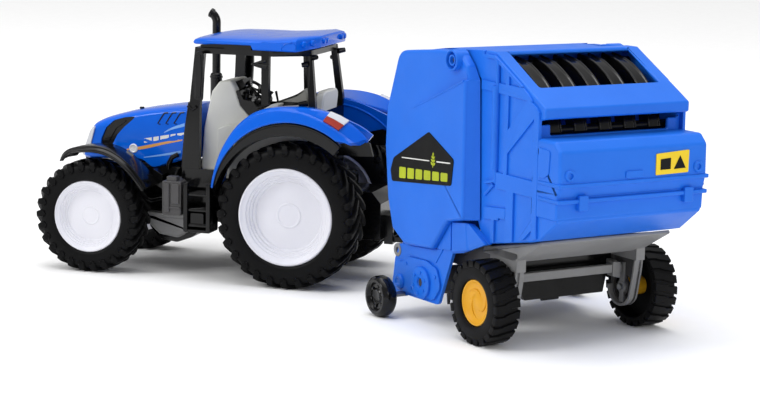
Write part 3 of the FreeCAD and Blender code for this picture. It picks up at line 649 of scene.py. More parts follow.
def hood_cuts():
    """Side-view outline of the intake wedge, and the paths of the hooked slots behind it."""
    intake = rounded([(-98.6, 84.2), (-106, 83.2), (-112.6, 81.2), (-117.6, 76.7), (-120.4, 70.5),
                      (-120.8, 66.6), (-113.4, 66.8), (-110.1, 73.4), (-106, 77.9)], 0.8)
    slots = []
    for index in range(SLOT_COUNT):
        y, z = -85.4 + SLOT_PITCH * index, 81 + 0.35 * index
        slots.append([(y + 1.6, z - 0.3), (y, z), (y + 2, z + 3.3), (y + 3.8, z + 6), (y + 6, z + 6.3)])
    return intake, slots


def hood_side(y, z):
    """Half width of the hood's side at a place."""
    half, low, crease, _ = between(sorted(HOOD_RIBS), y)
    part = max(0, min(1, (z - low) / (crease - low)))
    return half * (1 - 0.07 * part ** 1.6)


def hood():
    """The hood, its carved side intakes with their liners, its slots drawn as thin black strokes of painted
    shade, and the catch on top.
    """
    shell = piece("hood_shell", "tractor_blue", [skin([hood_rib(*row) for row in smooth(HOOD_RIBS, 53)])],
                  "tractor", nodes=("hood",), angle=38)
    intake, slots = hood_cuts()
    for side_name, side in SIDES.items():
        carved(shell, sided(side, [prism("side", intake, 14.6, 24)]), TRACTOR, f"hood_cutter_{side_name}")
    ridge = rounded([(-104, 82), (-112, 79.6), (-116.6, 75), (-118.6, 69.4), (-116, 69.2),
                     (-111.6, 76.6)], 0.8)
    liners = [prism("side", intake, 12.4, 15), prism("side", ridge, 14.6, 15.8)]
    # The slot strokes are black tubes standing on the hood face: painted shade in place of carved grooves.
    liners += [tube([(hood_side(y, z) - 0.05, y, z) for y, z in slot], 0.42, 8) for slot in slots]
    side_pieces("side_grille_*", "black_plastic", liners, "tractor", node="side_grilles", bevel=0.1)
    knob = [disc("plan", (4, -101), 1.1, 85, 87.4, 16), disc("plan", (4, -101), 1.4, 87.2, 88, 16)]
    piece("hood_catch", "black_plastic", knob, "tractor", bevel=0.2)


def hood_markings():
    """A gold stripe with plain bars over it, two pale sweeps and a blank badge, in place of the print."""
    decal("hood_stripe", "stripe_gold", [(-104, 65.1, 65.8), (-94.2, 66.3, 68.1), (-82, 69.6, 71),
                                         (-70.3, 72.5, 73.6)])
    first = -93.4
    for index, (start, wide) in enumerate(((first, 4.6), (-87.8, 3.2), (-83.6, 5.2), (-77.4, 3), (-73.4, 5))):
        rows = [(y, 69.9 + (y - first) * 0.18, 72.3 + (y - first) * 0.2) for y in (start, start + wide)]
        decal(f"hood_bar_{index}", "label_white", rows)
    decal("hood_sweep", "stripe_pale", [(-81.4, 76.1, 76.5), (-76.7, 78.2, 79.4), (-69.2, 80.4, 82.2)])
    decal("hood_edge", "stripe_pale", [(-93.4, 61.6, 62), (-82, 63.4, 64.4), (-71.1, 65.6, 67)])
    face = hood_side(*BADGE)
    profile = [(-1, 0), (0.55, 0), (0.5, 1.5), (0.8, 1.9), (0.8, 2.2), (0.3, 2.6), (-1, 2.6)]
    badge = turned([(face + x, r) for x, r in profile], BADGE, 32)
    side_pieces("hood_badge_*", "lamp_silver", [badge], "tractor", bevel=0.1)


def decal(name, look, rows):
    """A thin band on both hood sides, through (y, lower z, upper z) rows."""
    loops = []
    for y, low, high in smooth(rows, 12):
        loops.append([(hood_side(y, z) + proud, y, z)
                      for z, proud in ((low, 0.14), (high, 0.14), (high, -0.5), (low, -0.5))])
    side_pieces(f"{name}_*", look, [skin(loops)], "tractor", bevel=0)


def nose():
    """Grille with three bars, and headlights with a strip that runs up the hood's corner."""
    grille = [prism("front", rounded([(-8.8, 57.4), (8.8, 57.4), (7.6, 63), (-7.6, 63)], 1.2), -133.6, -131)]
    for row in range(3):
        level = 58.4 + row * 1.5
        grille.append(slab(-7.4, 7.4, -134.1, -133.4, level, level + 0.7))
    piece("nose_grille", "black_plastic", grille, "tractor", nodes=("grille",), bevel=0.15)
    lens = rounded([(9.2, 59.8), (12.6, 60), (12.4, 63), (8.8, 64.6)], 0.8)
    strip = rounded([(-125.4, 77.3), (-127.6, 74.2), (-129.3, 69.6), (-130.6, 65.8), (-127.4, 65.9),
                     (-126, 71.3), (-124.8, 75.9)], 0.5)
    lamps = both([prism("front", lens, -133.4, -130.4), prism("side", strip, 12.2, 15.6)])
    piece("headlight_lenses", "lamp_silver", lamps, "tractor", nodes=("headlights",), bevel=0.25)


def roof_rib(y, half, low, edge, top, crown):
    """Front-view loop of the roof: upright sides, a rounded edge and a gentle crown."""
    loop = [(half - 0.4, low), (half, low + 0.5), (half, edge - 0.8), (half - 0.5, edge - 0.2),
            (half - 1.6, edge + 0.3), (half - 5, top), (half * 0.62, top + crown * 0.5),
            (half * 0.3, top + crown * 0.92), (0, top + crown)]
    left = [(-x, z) for x, z in reversed(loop[:-1])]
    return laid("front", loop + left, y)


def cab_roof():
    """One moulding: a thin brow in front, side skirts and a raised tail with bevelled corners."""
    ribs = [(-59.3, 31.2, 128, 128.7, 129, 0.2), (-58.9, 31.8, 127.6, 129.4, 129.8, 0.3),
            (-57.4, 32.8, 127.4, 130, 130.6, 0.5), (-53.6, 35, 127.6, 130.3, 131, 0.8),
            (-50.5, 36.4, 127.8, 130.4, 131.2, 1), (-46, 36.8, 128.2, 130.5, 131.3, 1.1),
            (-36, 36.8, 128.3, 130.5, 131.4, 1.2), (-24.6, 36.8, 128.3, 130.4, 131.4, 1.2),
            (-23.4, 36.8, 125.9, 130.4, 131.4, 1.2), (-14, 36.8, 125.8, 130.6, 131.8, 1.1),
            (-4, 36.8, 125.8, 131.6, 132.8, 0.8), (1, 36.4, 125.8, 132.2, 133.3, 0.6),
            (5.2, 29.6, 126.6, 132.6, 133.5, 0.4), (9.2, 22.4, 127.4, 132.9, 133.6, 0.3),
            (9.9, 20.8, 127.8, 132.4, 132.9, 0.2)]
    skirt = rounded([(-22.8, 126.4), (1, 126.4), (1, 130), (-18, 130.6)], 1.5)
    bead = [(37, -7.4, 126.2), (37.1, -6.8, 128.4), (37, -4.6, 130.2), (36.7, -1.4, 131)]
    parts = [prism("side", skirt, 36, 37.2), tube(bead, 0.5, 8)]
    corner_start, corner_end = Vector((36.6, 1.2, 129.6)), Vector((21.8, 9.6, 130.4))
    for share in (0.3, 0.66):
        parts.append(lamp_bump(corner_start.lerp(corner_end, share), Vector((0.5, 0.86, 0)), 1.7, 1.6))
    for x in (17.6, 12.6):
        parts.append(lamp_bump(Vector((x, 9.8, 130.8)), Vector((0, 1, 0)), 1.5, 1.5))
    shells = [skin([roof_rib(*row) for row in ribs])] + both(parts)
    piece("cab_roof_moulding", "tractor_blue", shells, "tractor", nodes=("cab_roof",), bevel=0.45, angle=28)


def lamp_bump(place, outward, radius, height):
    """A moulded work-lamp boss that stands out of a wall."""
    path = [place - outward * 1.2, place + outward * height * 0.7, place + outward * height]
    return tube(path, [radius, radius, radius * 0.66], 16)


def cab_structure():
    """Sills, pillars and rails, with door hinges, handles and the strip under the roof."""
    foot = [(-61, 96), (-63.4, 79), (-64.6, 65), (-64.6, 54), (-58, 54), (-58.2, 66), (-56.8, 80),
            (-54.6, 94)]
    parts = [tube([(35, -15.6, 117), (35.6, -21, 118), (35.4, -24.4, 118.4)], [1.5, 1.2, 0.6], 10),
             tube([(35.2, -16, 120.4), (35.4, -23.6, 118.4)], [1.2, 0.5], 10),
             tube([(24, 3.4, 118.6), (25.4, 0.4, 118)], [1.6, 1.2]),
             tube([(24.6, 4, 97.6), (26.6, -0.6, 97)], [1.7, 1.3]),
             tube([(22.4, 5.6, 122), (24.6, 8.6, 122.6)], [1.6, 1.3]),
             slab(33.2, 35.8, -40, -24.6, 125.6, 128.2),
             slab(30, 34.6, -47, -22, 123, 125.9),
             plate("side", foot, 30.5, 35, 1),
             tube([(35.4, -60.6, 94), (36, -58, 92), (36, -55.6, 94)], 0.9, 10)]
    piece("cab_frame_moulding", "black_plastic", both(parts), "tractor", cad="cab_frame", bevel=0.45)


def cab_interior():
    """Grey cowl with a rounded head, a lower panel, floor, wheel-arch liners and the console."""
    cowl = rounded([(-62, 56), (-60.2, 80), (-55.8, 100), (-51.4, 105.6), (-44.4, 106.6), (-41.4, 101),
                    (-38.6, 93), (-32, 86.6), (-22, 85), (-20, 56)], 2.4)
    panel = rounded([(-52, 56), (-51.4, 79.6), (-46, 82), (-24, 82.4), (-24, 56)], 1.5)
    wall = [(-42, 56), (-40.4, 63), (-32.6, 80), (-25.6, 89), (-15.8, 94.8), (2, 96.6), (4.2, 94), (4.2, 56)]
    liner = [(-43.4, 56), (-41.6, 63.4), (-33.6, 81), (-26.4, 90), (-16.4, 96), (-12, 96.4), (-14, 93.6),
             (-24, 87), (-31, 78.6), (-38.6, 62.6), (-40, 56)]
    shelf = rounded([(-35, 88.4), (-34.6, 90.2), (-16.4, 97.2), (-10.8, 101), (-8.8, 100.6), (-8, 92),
                     (3, 91), (3, 57), (-30, 57)], 1)
    shells = [plate("side", cowl, -11, 13.2, 1.6), plate("side", panel, 2, 15.2, 0.8),
              slab(-25.2, 25.2, -58, 4.2, 54.4, 56.2)]
    shells += both([prism("side", wall, 23.2, 25.2), prism("side", rounded(liner, 0.8), 16.5, 25.4)])
    shells.append(plate("side", shelf, -24.6, -14, 1, foot=1))
    piece("cab_interior_moulding", "interior_grey", shells, "tractor", nodes=("cab_interior",), bevel=0.5,
          segments=3)
    lever = [tube([(-15.2, -27, 92), (-15.2, -28.4, 98.6)], [0.6, 0.8], 8),
             slab(-14.4, -13.4, -32, -12, 88, 93)]
    piece("console_lever", "black_plastic", lever, "tractor", bevel=0.2)


def seat():
    """A leaning back with rounded upper corners, a cushion, a pedestal and low side bolsters."""
    base, half_width, lean = 74, 12.5, 0.1
    back = rounded([(-half_width, base), (half_width, base), (half_width, 103, 5), (-half_width, 103, 5)],
                   1.5, 6)
    loops = []
    for y, shrink in ((3.2, 1.2), (3.8, 0.3), (5.4, 0), (7.4, 0), (8.2, 0.8)):
        loops.append([(x * (1 - shrink / half_width), y + (z - base) * lean - 1.6, z - shrink * (z - 88) / 15)
                      for x, z in back])
    cushion = rounded([(-12.4, -20), (12.4, -20), (12.4, 3), (-12.4, 3)], 3)
    bolster = rounded([(-19, 76), (2, 76), (2, 82.4), (-16, 81.6)], 2)
    shells = [skin(loops), prism("plan", cushion, 72.4, 79), slab(-9.6, 9.6, -18, 5, 57, 73)]
    shells += both([prism("side", bolster, 9.2, 12.6)])
    piece("seat_shell", "interior_grey", shells, "tractor", nodes=("seat",), bevel=0.8, segments=3)


def dashboard():
    """Sloping desk, a binnacle, three dials' stalks and two levers."""
    desk = rounded([(-41.6, 101), (-38.8, 93), (-33.4, 87.2), (-28.6, 91.2), (-31, 95.6), (-37, 96.4),
                    (-39.4, 101.4)], 0.8)
    binnacle = rounded([(-46, 104.6), (-40, 106.8), (-37.8, 103.4), (-42, 100)], 0.8)
    shells = [prism("side", desk, -8.6, 13.6), prism("side", binnacle, -6, 8)]
    for x, y, z in ((9.6, -37.4, 97), (5, -38.2, 98.4), (-1, -38.4, 98)):
        shells.append(tube([(x, y, z - 2), (x, y + 1, z + 2.4)], [1.3, 0.9], 10))
    for x, lean in ((11, 3), (-8, -3)):
        path = [(x, -33, 92), (x + lean * 0.3, -30, 96), (x + lean * 0.5, -28.6, 99)]
        shells.append(tube(path, [0.6, 0.5, 1.1], 10))
    piece("dashboard_moulding", "black_plastic", shells, "tractor", nodes=("dashboard",))


def steering():
    """The steering wheel and its column, in their CAD shapes."""
    piece("steering_wheel_moulding", "black_plastic", [], "steering_wheel", cad="steering_wheel", bevel=0.2)
    piece("steering_column_moulding", "black_plastic", [], "tractor", cad="steering_column", bevel=0.15)


def exhaust():
    """Upright pipe whose tip bends forward, a heat sleeve with three bands, and its foot."""
    x, y, r = -35.5, -72, 2.4
    bend = [(x, y - 6 + 6 * math.cos(turn), 133.6 + 6 * math.sin(turn))
            for turn in (step * 0.16 for step in range(8))]
    sleeve = [(60, 0), (104, 0), (105, 2.6), (104, 3.4), (63, 3.4), (62, 0)]
    shells = [tube([(x, y, 60), (x, y, 100), (x, y, 124)] + bend, r, 20), turned(sleeve, (x, y), 24, "plan")]
    for level in (70, 86, 102):
        shells.append(turned([(level, 2), (level + 1.2, 2), (level + 1.2, 3.8), (level, 3.8)], (x, y), 24,
                             "plan"))
    shells.append(slab(x - 2, -19.5, y - 2.4, y + 2.4, 60, 66))
    _, tip_y, tip_z = bend[-1]
    shells.append(tube([(x, tip_y + 1.2, tip_z - 0.5), (x, tip_y - 0.4, tip_z + 0.3)], r + 0.35, 20))
    piece("exhaust_pipe", "black_plastic", shells, "tractor", nodes=("exhaust_stack",), bevel=0.25)


def mirrors():
    """Tall mirror heads on two arms, outboard of the front pillars."""
    head = rounded([(-55.6, 98), (-51, 97.2), (-50.2, 112), (-50.6, 124.4), (-54.8, 124), (-56, 112)], 1.6)
    glass = rounded([(-54.6, 99.6), (-51.8, 99), (-51.2, 112), (-51.6, 122.6), (-54.2, 122.4), (-55, 112)], 1)
    parts = [prism("side", head, 37.2, 39.4), prism("side", glass, 39, 39.9)]
    for x, z in ((34.6, 100.6), (33.4, 121)):
        parts.append(tube([(x, -53.6, z), (37.6, -53.2, z + 0.4)], 1.1, 10))
    side_pieces("mirror_*_head", "black_plastic", parts, "tractor", node="mirror_*", bevel=0.4)


ARCH = (2.5, 46.5)
CREST = [(41, 49.4, 55, 44.2, 53.8, 41), (46, 48.5, 54.9, 44.3, 53.2, 39.5),
         (52, 48.3, 54.7, 44.5, 52.2, 36.5), (58, 48.3, 54.3, 44.7, 51, 32),
         (65, 48.2, 53.7, 45, 50.2, 27.6), (78, 48.9, 52.3, 45.6, 49.7, 26),
         (90, 49.9, 51.5, 46.2, 49.6, 26), (100, 50.6, 51.7, 46.6, 50.2, 26),
         (109, 50.9, 52, 46.8, 51.4, 26), (118, 50.4, 51.4, 46.8, 52.3, 26),
         (131, 48.6, 49.5, 46.8, 52.4, 26), (139, 47.3, 48.1, 46.8, 51.4, 26),
         (157, 45.3, 45.9, 46.8, 47.6, 26), (168, 44.9, 45.3, 46.8, 46.1, 28),
         (172, 44.7, 45, 46.8, 45.6, 30)]
LIP_RADIUS = 43.5


def polar(centre, radius, degrees):
    """The point of a circle at an angle in degrees."""
    return around(centre, radius, math.radians(degrees))


def fender_rib(degrees, edge, crown, ridge, inner, x_low):
    """Section of a rear fender: lip, skirt and its edge, slope up to the ridge, top, inner edge and back."""
    wall = 1.7
    skew = 0.75 * max(0, min(1, (58 - degrees) / 14))
    low = 43.4 + max(0, 52 - degrees) * 0.34
    knee = min(42.8, x_low + (50 - x_low) * 0.4)
    section = [(50, low), (50.3, low + 0.7), (50, min(low + 1.6, edge - 1)), (49.8, edge - 0.9),
               (49.2, edge - 0.1), (48.3, edge + 0.3), (ridge + 1.4, edge + (crown - edge) * 0.8),
               (ridge, crown), (ridge - 1.4, crown - 0.3), (knee, crown + (inner - crown) * 0.6),
               (x_low + 0.6, inner), (x_low, inner - 0.6), (x_low, inner - wall),
               (knee, min(inner, crown) - wall), (ridge, min(edge + 0.6, crown - wall)),
               (47.8, edge - wall + 0.2), (48.4, edge - wall - 0.4), (48.4, low)]
    return [(x, *polar(ARCH, radius, degrees + skew * max(0, x - 44))) for x, radius in section]


def fender_wall():
    """The upright inner wall behind the cab, with the crease along it."""
    crown = [polar(ARCH, between(CREST, angle)[3] - 0.7, angle) for angle in range(88, 41, -5)]
    outline = [(4.6, 84.4), (8.9, 82.9), (17.2, 75.5), (24.6, 77.4), (31.5, 79.2), (38, 78.4)] + crown[::-1]
    crease = [(24.4, *polar(ARCH, 45.9, angle)) for angle in range(84, 42, -4)]
    return [prism("side", outline, 24.4, 26.6), tube(crease, 0.7, 8)]


def rear_fenders():
    """Blue arches with their inner wall, and the black flares under them."""
    shell = skin([fender_rib(*row) for row in smooth(CREST, 57)])
    side_pieces("rear_fender_*_moulding", "tractor_blue", [shell] + fender_wall(), "tractor",
                node="rear_fender_*", bevel=0.25, angle=34)
    band = []
    first, last, steps = 49, 174, 42
    section = ((49.5, 0), (50.4, 0.05), (50.4, 0.14), (49.5, 0.2), (49, 0.85), (48.6, 1), (46.6, 1.05),
               (40, 1.05), (40, 0.85), (47, 0.5), (47, 0))
    for step in range(steps + 1):
        angle = first + (last - first) * step / steps
        outer = Vector(polar(ARCH, LIP_RADIUS - 0.5, angle))
        inner = Vector(polar((0.8, 40.5), 42.1, angle - (angle - 47) * 0.06 + 3.5))
        band.append([(x, *outer.lerp(inner, share)) for x, share in section])
    liner = [(8.9, 82.9), (17.2, 75.9), (24.6, 77.8), (31.5, 79.6), (39, 78), (41, 71), (30, 70.5), (17, 71)]
    side_pieces("fender_flare_*_moulding", "black_plastic", [skin(band), prism("side", liner, 22.8, 24.6)],
                "tractor", node="fender_flare_*", bevel=0.25, angle=40)


def tail_lamps():
    """Two-part lamps that lie on the slope between the skirt's edge and the ridge."""
    for name, look, start, end, nodes in (("clear", "lamp_silver", 0.5, 1.04, ("tail_lamps",)),
                                          ("red", "lamp_red", -0.04, 0.5, ())):
        loops = []
        for degrees in (68, 62, 56.5):
            edge, crown, ridge, _, _ = between(CREST, degrees)
            ring = []
            for share, proud in ((start, -0.8), (end, -0.8), (end, 0.9), (start, 0.9)):
                spot = polar(ARCH, edge + 0.3 + (crown - edge) * share + proud, degrees - share)
                ring.append((48.3 + (ridge - 48.3) * share + proud * 0.9, *spot))
            loops.append(ring)
        piece(f"tail_lamp_lenses_{name}", look, both([skin(loops)]), "tractor", nodes=nodes, bevel=0.25)


FRONT_CREST = [(-131.8, 62.4), (-128.4, 66), (-122.6, 68.2), (-114, 69.2), (-105.4, 68.2), (-97.4, 64.6),
               (-90.4, 59), (-85.4, 53.6), (-81.6, 48.8)]


def front_fenders():
    """Arched mudguards with a double bead along the outer edge, on arms from the chassis."""
    crest = smooth(FRONT_CREST, 37)
    section = [(25.6, -0.2), (27, 0.5), (36, 0.9), (43, 0.5), (44.6, 0.2), (46, -0.8), (46.1, -2.2),
               (45.2, -2.4), (44.8, -1.4), (36, -0.9), (25.6, -1.6)]
    shells = [swept(crest, section), tube([(43.6, y, z + 0.5) for y, z in crest[1:-1]], 0.55, 8),
              tube([(45.9, y, z - 1.9) for y, z in crest[1:-1]], 0.6, 8),
              prism("side", [(-84.4, 48.8), (-84.4, 57), (-79, 54), (-79, 46)], 15, 27)]
    side_pieces("front_fender_*_moulding", "black_plastic", shells, "tractor", node="front_fender_*",
                bevel=0.25, angle=40)


def steps():
    """Moulded cab steps: two stringers, three ribbed treads and a small plate at the foot."""
    tread_line = rounded([(34, -56.6), (45.6, -56.6), (45.6, -45), (34, -45)], 0.8)
    stringer = rounded([(33, 26.8), (45, 26.8), (46.2, 29), (46.2, 50), (44, 54), (33, 54)], 1.4)
    flange = rounded([(44.4, 27), (46.6, 27), (46.6, 53.6), (44.4, 53.6)], 0.6)
    foot_plate = rounded([(-55.4, 31), (-47.6, 31), (-47.6, 37.4), (-55.4, 37.4)], 1)
    parts = []
    for tread in range(3):
        z = 29.8 + tread * 8.4
        parts.append(prism("plan", tread_line, z, z + 1.3))
        parts += [slab(34.6 + rib * 2.4, 35.6 + rib * 2.4, -56, -45.6, z + 1.2, z + 1.8) for rib in range(5)]
    for y in (-58.2, -45.2):
        parts += [prism("front", stringer, y, y + 1.5), prism("front", flange, y - 0.4, y + 1.9)]
    parts += [slab(33, 34.8, -58, -44, 27, 54), prism("side", foot_plate, 40, 44.6),
              slab(33, 46.2, -58, -43.8, 26.8, 28.4), slab(15, 34, -55, -47, 36, 42)]
    side_pieces("step_*_moulding", "black_plastic", parts, "tractor", node="step_*")


def side_boxes():
    """The toolbox with its cap and two raised panels on the left, the fuel tank with its cap on the right."""
    box = rounded([(-72, 35), (-61, 35), (-61, 53.6), (-72, 53.6)], 0.8)
    tall = rounded([(-70.6, 36.6), (-67.6, 36.6), (-67.6, 52.4), (-70.6, 52.4)], 0.5)
    door = rounded([(-66.6, 41.4), (-62, 41.4), (-62, 52.4), (-66.6, 52.4)], 0.5)
    cap = rounded([(38, -70), (43, -70), (43, -64), (38, -64)], 0.8)
    shells = [prism("side", box, 26, 44), slab(15, 27, -71, -60, 42, 50), prism("side", tall, 43, 45),
              prism("side", door, 43, 44.8), slab(43.5, 44.7, -71.4, -61.4, 38.8, 39.8),
              prism("plan", cap, 53, 56)]
    piece("toolbox_left_moulding", "dark_grey_plastic", shells, "tractor", nodes=("toolbox_left",),
          bevel=0.35)
    filler = turned([(55, 0), (55, 2.4), (52, 2.6), (49, 2.6), (49, 0)], (-34, -66), 20, "plan")
    piece("fuel_tank_right_moulding", "dark_grey_plastic", [filler], "tractor", cad="fuel_tank_right",
          bevel=0.8, segments=3)


def sump():
    """Rounded grey engine pan with a flat flange."""
    pan = rounded([(-91.4, 31), (-90.4, 25, 5), (-84, 19.4, 5), (-73, 17.8, 5), (-66, 22), (-64, 31)], 1, 5)
    rim = rounded([(-92, 29.6), (-64, 29.6), (-64, 31.6), (-92, 31.6)], 0.4)
    shells = both([plate("side", pan, 2, 20.6, 2.4), plate("side", rim, 2, 21.4, 0.4)])
    piece("engine_sump_moulding", "grey_plastic", shells, "tractor", nodes=("engine_sump",), bevel=0)


def chassis():
    """Engine block, gearbox and axle housings, with the clutter that shows under the hood."""
    belly_line = [(-96, 34), (-92, 22, 5), (-86, 15.6, 5), (-76, 14.2, 5), (-66, 18, 5), (-58, 28), (-58, 34)]
    housing = rounded([(-20, 34), (18, 34), (18, 56), (-20, 56)], 3)
    parts = [prism("side", rounded([(-100, 46), (-64, 46), (-64, 58), (-100, 57)], 1), 12, 18.6),
             tube([(21, -78, 57), (22.4, -77, 60), (22.6, -75, 63.4), (21, -72, 65)], 1.4),
             tube([(22, -74, 44), (22.4, -73.4, 52), (21, -72, 57)], 1.1),
             tube([(17, -96, 40), (20, -88, 38), (20, -78, 41), (17, -70, 46)], 1.2),
             disc("side", (-83, 50), 3.4, 17, 20.4, 24), disc("side", (-68.6, 58.4), 2.4, 16, 19.6, 24),
             slab(13, 33, -62, -40, 44, 53.6), slab(14, 24, -40, -20, 38, 52),
             prism("side", housing, 14, 24.4)]
    shells = [prism("side", rounded(belly_line, 3, 5), -13, 13)] + both(parts)
    piece("chassis_casting", "black_plastic", shells, "tractor", cad="chassis", bevel=0.5)
    for node in ("rear_axle", "front_axle", "hitch_pin"):
        piece(f"{node}_bar", "axle_steel", [], "tractor", cad=node, bevel=0.15)
    piece("rear_hitch_clevis", "black_plastic", [], "tractor", cad="rear_hitch", bevel=0.4)


# ---- baler ----

SHIELD = [(-17.4, 124.4), (-16.8, 57.5), (-30.8, 54.6), (-44.1, 38.7), (-69.7, 36.9), (-81, 43.2),
          (-83.5, 50.5), (-86.1, 58.6), (-89.4, 84.7), (-88.3, 104.3), (-77.4, 133.8, 8), (-46, 136.9),
          (-26.6, 137.6), (-19.6, 131.4), (-17.4, 125.2)]
CREASE = ((-68.5, 104.4), (-17.4, 124.8))


def sink(y, z):
    """How far the shield's face lies below its main plane: it falls away above the crease."""
    (y_start, z_start), (y_end, z_end) = CREASE
    share = max(0, min(1, (y - y_start) / (y_end - y_start)))
    return 2.6 * share if z > z_start + share * (z_end - z_start) else 0


def shield_shell(low, high, fillet, steps=5):
    """The shield with rounded edges, a slanted rear wall and the fold along its crease."""
    corners = [(*SHIELD[0], 0), (*SHIELD[1], 1), *SHIELD[2:-1], (*SHIELD[-1], 0)]
    outline = rounded(corners, 3, 4)
    count = len(outline)
    sinks = [sink(y, z) for y, z in outline]
    sinks[0] = 0
    slant, slant_top, slant_fade = 4.6, 131, 13
    loops = [[(low, y + (slant * max(0, min(1, (slant_top - z) / slant_fade)) if y > -20 else 0), z)
              for y, z in outline]]
    for step in range(steps + 1):
        turn = math.pi / 2 * step / steps
        ring = inset(outline, fillet * (1 - math.cos(turn)))
        level = high - fillet * (1 - math.sin(turn))
        loops.append([(level - down, y, z) for (y, z), down in zip(ring, sinks)])
    points, faces = skin(loops)
    faces.pop()
    first, hub = len(points) - count, len(points)
    points.append((high, *CREASE[0]))
    faces += [(hub, first + index, first + (index + 1) % count) for index in range(count)]
    return points, faces


PIVOT = (-29.1, 133.3)


def side_shields():
    """Smooth side panels: the field above the slanted crease sinks in towards the hinge boss."""
    face = 50
    crease = [(face - 0.12, y, z) for y, z in ((-67.6, 104.6), (-60, 107.6), (-40, 115.6), (-18.6, 124.2))]
    shells = [shield_shell(42.9, face, 1.7), tube(crease, [0.05, 0.35, 0.5, 0.6], 10)]
    side_pieces("side_shield_*_moulding", "baler_blue", shells, "baler", BALER, "side_shield_*", bevel=0,
                angle=30)
    cup = [(42.9, 0), (48.4, 0), (48.4, 1.7), (50.1, 1.9), (50.2, 2.7), (48, 3), (48, 3.9), (50.7, 4.2),
           (50.9, 4.7), (50.4, 5.2), (42.9, 5.2)]
    web = [(-25.6, 131.6), (-19.4, 127), (-18, 121.2), (-22.6, 123.2), (-26, 127.6)]
    shells = [turned(cup, PIVOT, 48), prism("side", web, 45, 47.6)]
    side_pieces("hinge_boss_*", "baler_blue", shells, "baler", BALER, bevel=0.15)


PRINT_LOW = 50.2
PRINT_HIGH = 50.5


def baler_label():
    """The house-shaped label, with a generic leaf and plain bars in place of its print."""
    panel = rounded([(-48, 96.4, 2), (-80, 79.6, 3), (-82.8, 73, 3), (-81.2, 67.4, 1.5), (-27, 72.6, 2),
                     (-25.2, 85.6, 2)], 1)
    side_pieces("baler_label_*", "label_black", [prism("side", panel, 49.8, 50.35)], "baler", BALER,
                bevel=0.12)
    lines = [[(-72, 80.4), (-46.6, 82), (-46.6, 82.5), (-72, 80.9)],
             [(-40, 82.4), (-28, 83.2), (-28, 83.8), (-40, 83)]]
    lines = [prism("side", line, PRINT_LOW, PRINT_HIGH) for line in lines]
    side_pieces("baler_label_*_lines", "label_white", lines, "baler", BALER, bevel=0)
    mark = [leaf((-43.2, 80.4 + 1.7 * row), 2.6 - 0.3 * row, 90 + tilt)
            for row in range(3) for tilt in (-52, 52)]
    stem = [(50.45, -43.4, 79.4), (50.45, -42.8, 82), (50.45, -43.2, 85.4)]
    mark += [leaf((-43.2, 84.6), 2.4, 90), tube(stem, 0.22, 6)]
    for start in (-74, -66.4, -58.8, -51.2, -43.6, -36):
        end = start + 6
        foot, head = 70.2 + (start + 72) * 0.096, 75.8 + (start + 72) * 0.06
        bar = rounded([(start, foot), (end, foot + 0.58), (end, head + 0.36), (start, head)], 0.8)
        mark.append(prism("side", bar, PRINT_LOW, PRINT_HIGH))
    side_pieces("baler_label_*_mark", "label_green", mark, "baler", BALER, bevel=0)


def leaf(foot, length, degrees):
    """A small pointed leaf on the label."""
    turn = math.radians(degrees)
    along, across = Vector((math.cos(turn), math.sin(turn))), Vector((-math.sin(turn), math.cos(turn)))
    outline = [(0, 0), (0.3, 0.22), (0.6, 0.22), (1, 0), (0.6, -0.22), (0.3, -0.22)]
    points = [tuple(Vector(foot) + along * (u * length) + across * (v * length)) for u, v in outline]
    return prism("side", points, PRINT_LOW, PRINT_HIGH)


def front_shell():
    """The front half of the bale chamber, and the tailgate's two pins."""
    piece("baler_front_shell_moulding", "baler_blue", [], "baler", BALER, cad="baler_front_shell", bevel=0.6,
          segments=3)
    pins = both([disc("side", PIVOT, 1.6, 39.6, 48.6, 24)])
    piece("tailgate_pin_bars", "axle_steel", pins, "baler", BALER, nodes=("tailgate_pins",), bevel=0.15)


def gate_ribs():
    """Raised bands on the gate's cheeks, as side-view outlines."""
    return [
        [(-14, 125.2), (20, 124.8), (24.4, 122.2), (28, 119), (-14, 120.8)],
        [(6, 132.4), (8.9, 130.8), (8.9, 82), (6, 82)],
        [(24.4, 120.4), (31.6, 116.8), (33.4, 114.8), (8.6, 92.4), (8.6, 103.6)],
        [(0, 82.8), (31, 82.6), (31, 74.8), (0, 75)],
        [(8.8, 76), (14.9, 76), (14.9, 51.4), (8.8, 50)],
        [(29.8, 115.6), (33.6, 115), (33.8, 56), (29.8, 55)],
        [(30.6, 65.4), (30.6, 60), (23.6, 54), (20.2, 54)],
        [(-9, 65), (8.8, 66.6), (8.8, 61.4), (3, 61), (3, 60), (-9, 59)],
        [(-3, 60.6), (-0.2, 60.6), (-0.2, 48.6), (-3, 48.2)],
        [(-10.5, 137.6), (-3, 137.6), (20, 125.2), (18, 124.6), (-4, 136), (-10.5, 136)],
        [(-9, 75.8), (-1.6, 77.6), (0.6, 79.6), (-0.6, 80.6), (-2.6, 78.8), (-9, 77.2)],
    ]


def gate_cylinder():
    """The hydraulic ram moulded on the gate's cheek."""
    return [tube([(42.8, -0.6, 135.6), (42.8, -0.3, 122)], 1.0),
            tube([(42.6, -1.5, 123.6), (42.6, -1.3, 84)], 2.0, 20),
            tube([(42.6, -0.6, 84.6), (42.6, -0.6, 77.4)], [1.1, 0.9]),
            tube([(42.4, -2.2, 76.6), (42.4, -9.4, 70.8)], 0.9, 10)]


def tailgate():
    """The gate's own shape, with raised bands and a ram on each cheek."""
    piece("tailgate_moulding", "baler_blue", [], "tailgate", BALER, cad="tailgate", bevel=0.9, segments=3,
          clamp=False)
    bands = [plate("side", rounded(outline, 0.3, 2), 41.4, 43 + 0.03 * index, 0.35, steps=2)
             for index, outline in enumerate(gate_ribs())]
    piece("tailgate_relief", "baler_blue", both(bands + gate_cylinder()), "tailgate", BALER, bevel=0)


